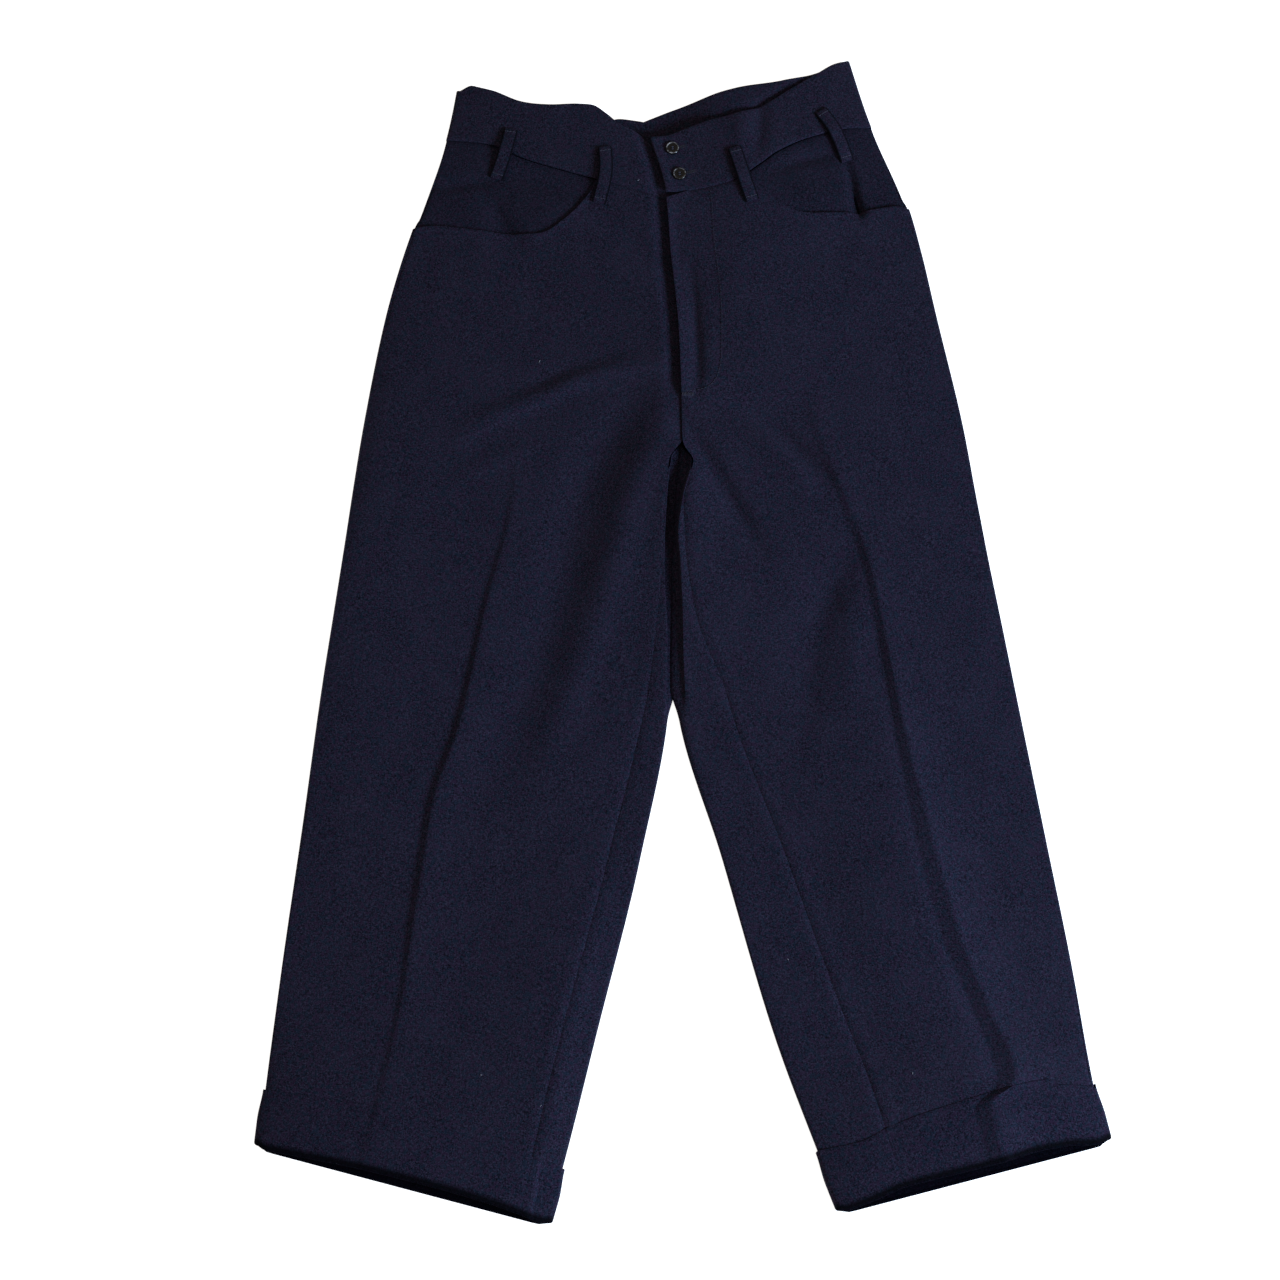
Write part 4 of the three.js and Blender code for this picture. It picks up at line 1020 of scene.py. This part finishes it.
def wool(name="wool", shade=1.0, bloom=1.0, strip_width=0, edge=(0, 0), edge_shade=1.0):
    """Dark navy worsted: a fine open weave of mixed fibres, with a faint bloom of loose wool. A shade below
    one darkens all of it as painted shade, and a strip of the given width gets painted shade along its edges,
    which fades between two distances from them."""
    finish = Finish(name)
    grain = finish.node("ShaderNodeUVMap", {"uv_map": "cloth"}, {})
    place = finish.place()
    warp = finish.noise(finish.stretch(grain, 1.0, 0.3), 1.15)
    weft = finish.noise(finish.stretch(grain, 0.3, 1.0), 1.15)
    fleck = finish.noise(place, 1.3)
    cloud = finish.noise(place, 34.0, 3.0, 0.55)
    hue = finish.noise(place, 3.0)
    mottle = warp * 0.42 + weft * 0.42 + (fleck - 0.5) * 0.9 + 0.08
    colour = finish.blend(finish.spread(mottle, 0.46, 0.68), NAVY, NAVY_PALE)
    colour = finish.blend(finish.spread(mottle, 0.52, 0.32), colour, NAVY_DARK)
    colour = finish.blend(finish.spread(hue, 0.51, 0.63, 0.0, 0.75), colour, PLUM)
    colour = finish.blend(finish.spread(hue, 0.49, 0.37, 0.0, 0.7), colour, TEAL)
    colour = finish.blend(finish.spread(cloud, 0.35, 0.7, 0.0, 0.12), colour, NAVY_PALE)
    # a shade below one darkens the whole cloth: painted shade
    if shade < 1:
        colour = finish.blend(1 - shade, colour, (0, 0, 0, 1))
    # painted shade along the strip's edges
    if strip_width:
        across = finish.node("ShaderNodeSeparateXYZ", {}, {0: grain})
        off_middle = finish.maths("ABSOLUTE", across - strip_width * MM / 2)
        start, full = [(strip_width / 2 - off_edge) * MM for off_edge in edge]
        painted_edge_mask = finish.spread(off_middle, start, full, 0.0, 1 - edge_shade)
        colour = finish.blend(painted_edge_mask, colour, (0, 0, 0, 1))
    twill = finish.node(
        "ShaderNodeTexWave", {"bands_direction": "DIAGONAL", "wave_profile": "SIN"},
        {"Vector": grain, "Scale": 420.0, "Distortion": 1.2, "Detail": 1.0, "Detail Scale": 2.0},
        output="Fac")
    height = mottle * 0.8 + twill * 0.35
    finish.shade(Base_Color=colour, Normal=finish.bump(height, 0.3, 0.8), Roughness=0.92)
    finish.shade(Specular_IOR_Level=0.05 * bloom, Sheen_Weight=0.035 * bloom, Sheen_Roughness=0.5)
    finish.shade(Sheen_Tint=(0.35, 0.38, 0.62, 1))
    return finish.material


def thread(name, dark, pale):
    """Sewing thread, a little glossier than the wool."""
    finish = Finish(name)
    place = finish.place()
    ply = finish.noise(place, 0.5)
    colour = finish.blend(finish.spread(ply, 0.4, 0.62), dark, pale)
    finish.shade(Base_Color=colour, Normal=finish.bump(ply, 0.12, 0.7), Roughness=0.6)
    finish.shade(Specular_IOR_Level=0.35)
    return finish.material


def horn(name, dark, pale):
    """Polished horn, faintly streaked."""
    finish = Finish(name)
    place = finish.place()
    streak = finish.noise(finish.stretch(place, 0.35, 1.0), 1.6, 4.0)
    colour = finish.blend(finish.spread(streak, 0.4, 0.7), dark, pale)
    scuff = finish.noise(place, 0.7, 3.0, 0.7)
    finish.shade(Base_Color=colour, Roughness=finish.spread(scuff, 0.35, 0.7, 0.1, 0.22))
    finish.shade(Normal=finish.bump(scuff, 0.04, 0.3), Specular_IOR_Level=0.3)
    return finish.material


def lint():
    """Pale fibres caught on the cloth."""
    finish = Finish("lint")
    place = finish.place()
    tone = finish.noise(place, 0.6)
    colour = finish.blend(tone, (0.10, 0.10, 0.13, 1), (0.28, 0.28, 0.33, 1))
    finish.shade(Base_Color=colour, Roughness=0.9)
    return finish.material


# ---- buttons ----
HOLE_OFF = 1.5
HOLE_RADIUS = 0.75
DISH = 0.95  # depth of a button's middle below its rim


def button(name, share, up, finish, highlight_finish):
    """A turned disc with a raised rim, a dished middle and four holes, standing on the left band. A ring on
    its rim takes a paler material, a painted highlight."""
    base = above_wall(HALVES["left"], up, share, BAND / 2 + GAP)
    radius, thick = BUTTON.radius, BUTTON.thick
    profile = [(0.02, 0), (radius - 1.6, 0), (radius - 0.6, 0.35), (radius - 0.12, 1.0), (radius, 1.5),
               (radius - 0.15, 2.1), (radius - 0.55, thick - 0.12), (radius - 1.1, thick),
               (radius - 1.65, thick - 0.18), (radius - 2.1, thick - 0.6), (radius - 2.6, thick - 0.85),
               (2.6, thick - DISH), (0.02, thick - DISH)]
    choose_none()
    bpy.ops.mesh.primitive_circle_add(vertices=len(profile), radius=1)
    piece = bpy.context.object
    piece.name = piece.data.name = name + "_turned"
    for vertex, (out, height) in zip(piece.data.vertices, profile):
        vertex.co = (out * MM, 0, height * MM)
    bpy.ops.object.mode_set(mode="EDIT")
    bpy.ops.mesh.select_all(action="SELECT")
    bpy.ops.mesh.spin(steps=48, angle=2 * math.pi, center=(0, 0, 0), axis=(0, 0, 1))
    bpy.ops.mesh.remove_doubles(threshold=0.00006)
    bpy.ops.mesh.normals_make_consistent(inside=False)
    bpy.ops.object.mode_set(mode="OBJECT")
    drill(piece)
    piece.data.materials.clear()
    piece.data.materials.append(finish)
    piece.data.materials.append(highlight_finish)
    # a ring near the top of the rim takes the painted highlight
    for face in piece.data.polygons:
        out = math.hypot(face.center.x, face.center.y) / MM
        face.material_index = int(radius - 1.7 < out < radius - 0.5 and face.center.z > (thick - 0.5) * MM)
    piece.data.transform(Matrix.Translation(Vector(base) * MM))
    smooth(piece, 50)
    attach(piece, "root")
    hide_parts(name)
    return base


def drill(piece):
    """Four holes right through the disc."""
    for k in range(4):
        a = math.radians(45 + 90 * k)
        where = (HOLE_OFF * MM * math.cos(a), HOLE_OFF * MM * math.sin(a), BUTTON.thick / 2 * MM)
        choose_none()
        size = {"radius": HOLE_RADIUS * MM, "depth": 6 * MM}
        bpy.ops.mesh.primitive_cylinder_add(vertices=16, location=where, **size)
        bit = bpy.context.object
        modify(piece, "BOOLEAN", object=bit, operation="DIFFERENCE", solver="EXACT")
        bpy.data.objects.remove(bit)


def button_thread(base, name, finish):
    """Two bars of thread across the holes of a button."""
    top = BUTTON.thick - DISH + 0.25
    starts, ends = [], []
    for side in (-1, 1):
        for strand in (-0.3, 0, 0.3):
            across = side * HOLE_OFF * 0.72 + strand
            starts.append(base + np.array([-HOLE_OFF * 0.75, across, top]))
            ends.append(base + np.array([HOLE_OFF * 0.75, across, top]))
    thread_row(name, starts, ends, 0.22, finish, "button")


BUTTONHOLE = SimpleNamespace(long=15.0, wide=1.5, lean=14, stitches=26)


def buttonhole(base, name, finish):
    """A worked slit in the band beside a button: close stitches across both its edges."""
    start = base + np.array([BUTTON.radius - 3.0, 1.2, 0])
    lean = math.radians(BUTTONHOLE.lean)
    along = np.array([math.cos(lean), math.sin(lean), 0])
    aside = np.array([-math.sin(lean), math.cos(lean), 0])
    starts, ends = [], []
    for k in range(BUTTONHOLE.stitches):
        middle = start + along * BUTTONHOLE.long * k / (BUTTONHOLE.stitches - 1)
        middle[2] = base[2] - GAP + 0.1
        for side in (-1, 1):
            starts.append(middle + aside * side * 0.25)
            ends.append(middle + aside * side * BUTTONHOLE.wide)
    thread_row(name, starts, ends, 0.3, finish)


# ---- making everything ----
wool_cloth = wool()
inner_cloth_painted_shade = wool("wool_inside_painted_shade", INSIDE_PAINTED_SHADE, 0.1)
facing_cloth_painted_shade = wool("wool_facing_painted_shade", FACING_PAINTED_SHADE)
loop_cloth_painted_edge = wool("wool_loop_painted_edge_shade", 1.0, 1.0, LOOP.width - LOOP.thick, (2.2, 0.7), LOOP_EDGE_PAINTED_SHADE)
cuff_cloth_painted_edge = wool("wool_cuff_painted_edge_shade", 1.0, 0.7, 400, (8, 2.5), HEM_EDGE_PAINTED_SHADE)
navy_thread = thread("thread", (0.006, 0.006, 0.011, 1), (0.020, 0.020, 0.036, 1))
pale_thread = thread("thread_pale", (0.015, 0.015, 0.028, 1), (0.050, 0.050, 0.078, 1))
dark_horn = horn("horn", (0.0008, 0.0008, 0.001, 1), (0.003, 0.003, 0.004, 1))
rim_horn_painted_highlight = horn("horn_rim_painted_highlight", (0.004, 0.004, 0.005, 1), (0.32, 0.32, 0.34, 1))
pale_lint = lint()

# each half's sheets in the order they are laid: part, maker, finishes, the part it rests on
SHEETS = [
    ("back", back_panel, (wool_cloth, inner_cloth_painted_shade), None),
    ("waistband_back", back_band, (wool_cloth,), None),
    ("cuff_back", back_cuff, (cuff_cloth_painted_edge, inner_cloth_painted_shade), "back"),
    ("pocket_facing", pocket_facing, (facing_cloth_painted_shade,), "back"),
    ("front", front_panel, (wool_cloth, inner_cloth_painted_shade), "back"),
    ("waistband_front", front_band, (wool_cloth,), "waistband_back"),
    ("cuff_front", front_cuff, (cuff_cloth_painted_edge, inner_cloth_painted_shade), "front"),
]
for half in HALVES.values():
    for part, make, finishes, under in SHEETS:
        declare(make(half, *finishes), f"{part}_{half.name}")

for node, (side, *place) in FRONT_LOOPS.items():
    loop, middle = front_loop(f"cloth_{node}", HALVES[side], *place, loop_cloth_painted_edge)
    declare(loop, node)
    loop_tacks(f"{node}_tacks", middle, pale_thread)
for node, (side, share) in BACK_LOOPS.items():
    loop = back_loop(f"cloth_{node}", HALVES[side], share, loop_cloth_painted_edge)
    declare(loop, node)

left = HALVES["left"]
thread_row("fly_stitching", *stitch_line(
    left, [918, 907, 855, 811, 760, 728, 710, 701, 698],
    [0.797, 0.799, 0.818, 0.82, 0.833, 0.845, 0.868, 0.91, 0.985], CLOTH / 2 + 0.65), 0.24, navy_thread)
for node, (share, up) in BUTTONS.items():
    base = button(node, share, up, dark_horn, rim_horn_painted_highlight)
    button_thread(base, f"{node}_thread", pale_thread)
    buttonhole(base, f"{node}_hole_stitches", navy_thread)

thread_row("fly_bar_tack", *bar_tack(), 0.34, pale_thread)
fibres("lint_specks", LINT, pale_lint)


# ---- floor, light and camera ----
FLOOR_GLOW = 0.85  # the floor is lit from below as on a light table, so that it stays white
LAMP = SimpleNamespace(place=(2.3, -1.2, 1.25), size=1.0, watts=121, colour=(0.73, 1.0, 1.31))
SKY = SimpleNamespace(strength=0.345, colour=(1.15, 1.0, 0.85))


def floor():
    choose_none()
    bpy.ops.mesh.primitive_plane_add(size=12, location=(0, 0, 0))
    plane = bpy.context.object
    plane.name = "floor"
    finish = Finish("floor")
    finish.shade(Base_Color=(0.86, 0.86, 0.86, 1), Roughness=0.9, Specular_IOR_Level=0.1)
    finish.shade(Emission_Color=(1, 1, 1, 1), Emission_Strength=FLOOR_GLOW)
    plane.data.materials.append(finish.material)


def lights():
    world = bpy.data.worlds.new("studio")
    world.use_nodes = True
    sky = world.node_tree.nodes["Background"].inputs
    sky["Color"].default_value = (*SKY.colour, 1)
    sky["Strength"].default_value = SKY.strength
    bpy.context.scene.world = world
    key = bpy.data.lights.new("key", "AREA")
    key.energy = LAMP.watts
    key.size = LAMP.size
    key.color = LAMP.colour
    lamp = put_in_scene("key", key)
    lamp.location = LAMP.place
    lamp.rotation_euler = Vector(LAMP.place).to_track_quat("Z", "Y").to_euler()


CAMERA_AIM = Vector((-36.5, -35.6, 0)) * MM
CAMERA_DISTANCE = 2240 * MM
CAMERA_LEAN = math.radians(18)  # back from straight overhead, toward the hems


def camera():
    data = bpy.data.cameras.new("camera")
    data.lens = 70
    data.sensor_width = 36
    data.clip_end = 20
    view = put_in_scene("camera", data)
    back = Vector((0, -math.sin(CAMERA_LEAN), math.cos(CAMERA_LEAN)))
    view.location = CAMERA_AIM + back * CAMERA_DISTANCE
    view.rotation_euler = (CAMERA_LEAN, 0, 0)
    bpy.context.scene.camera = view


floor()
lights()
camera()
bpy.context.scene.view_settings.view_transform = "Standard"
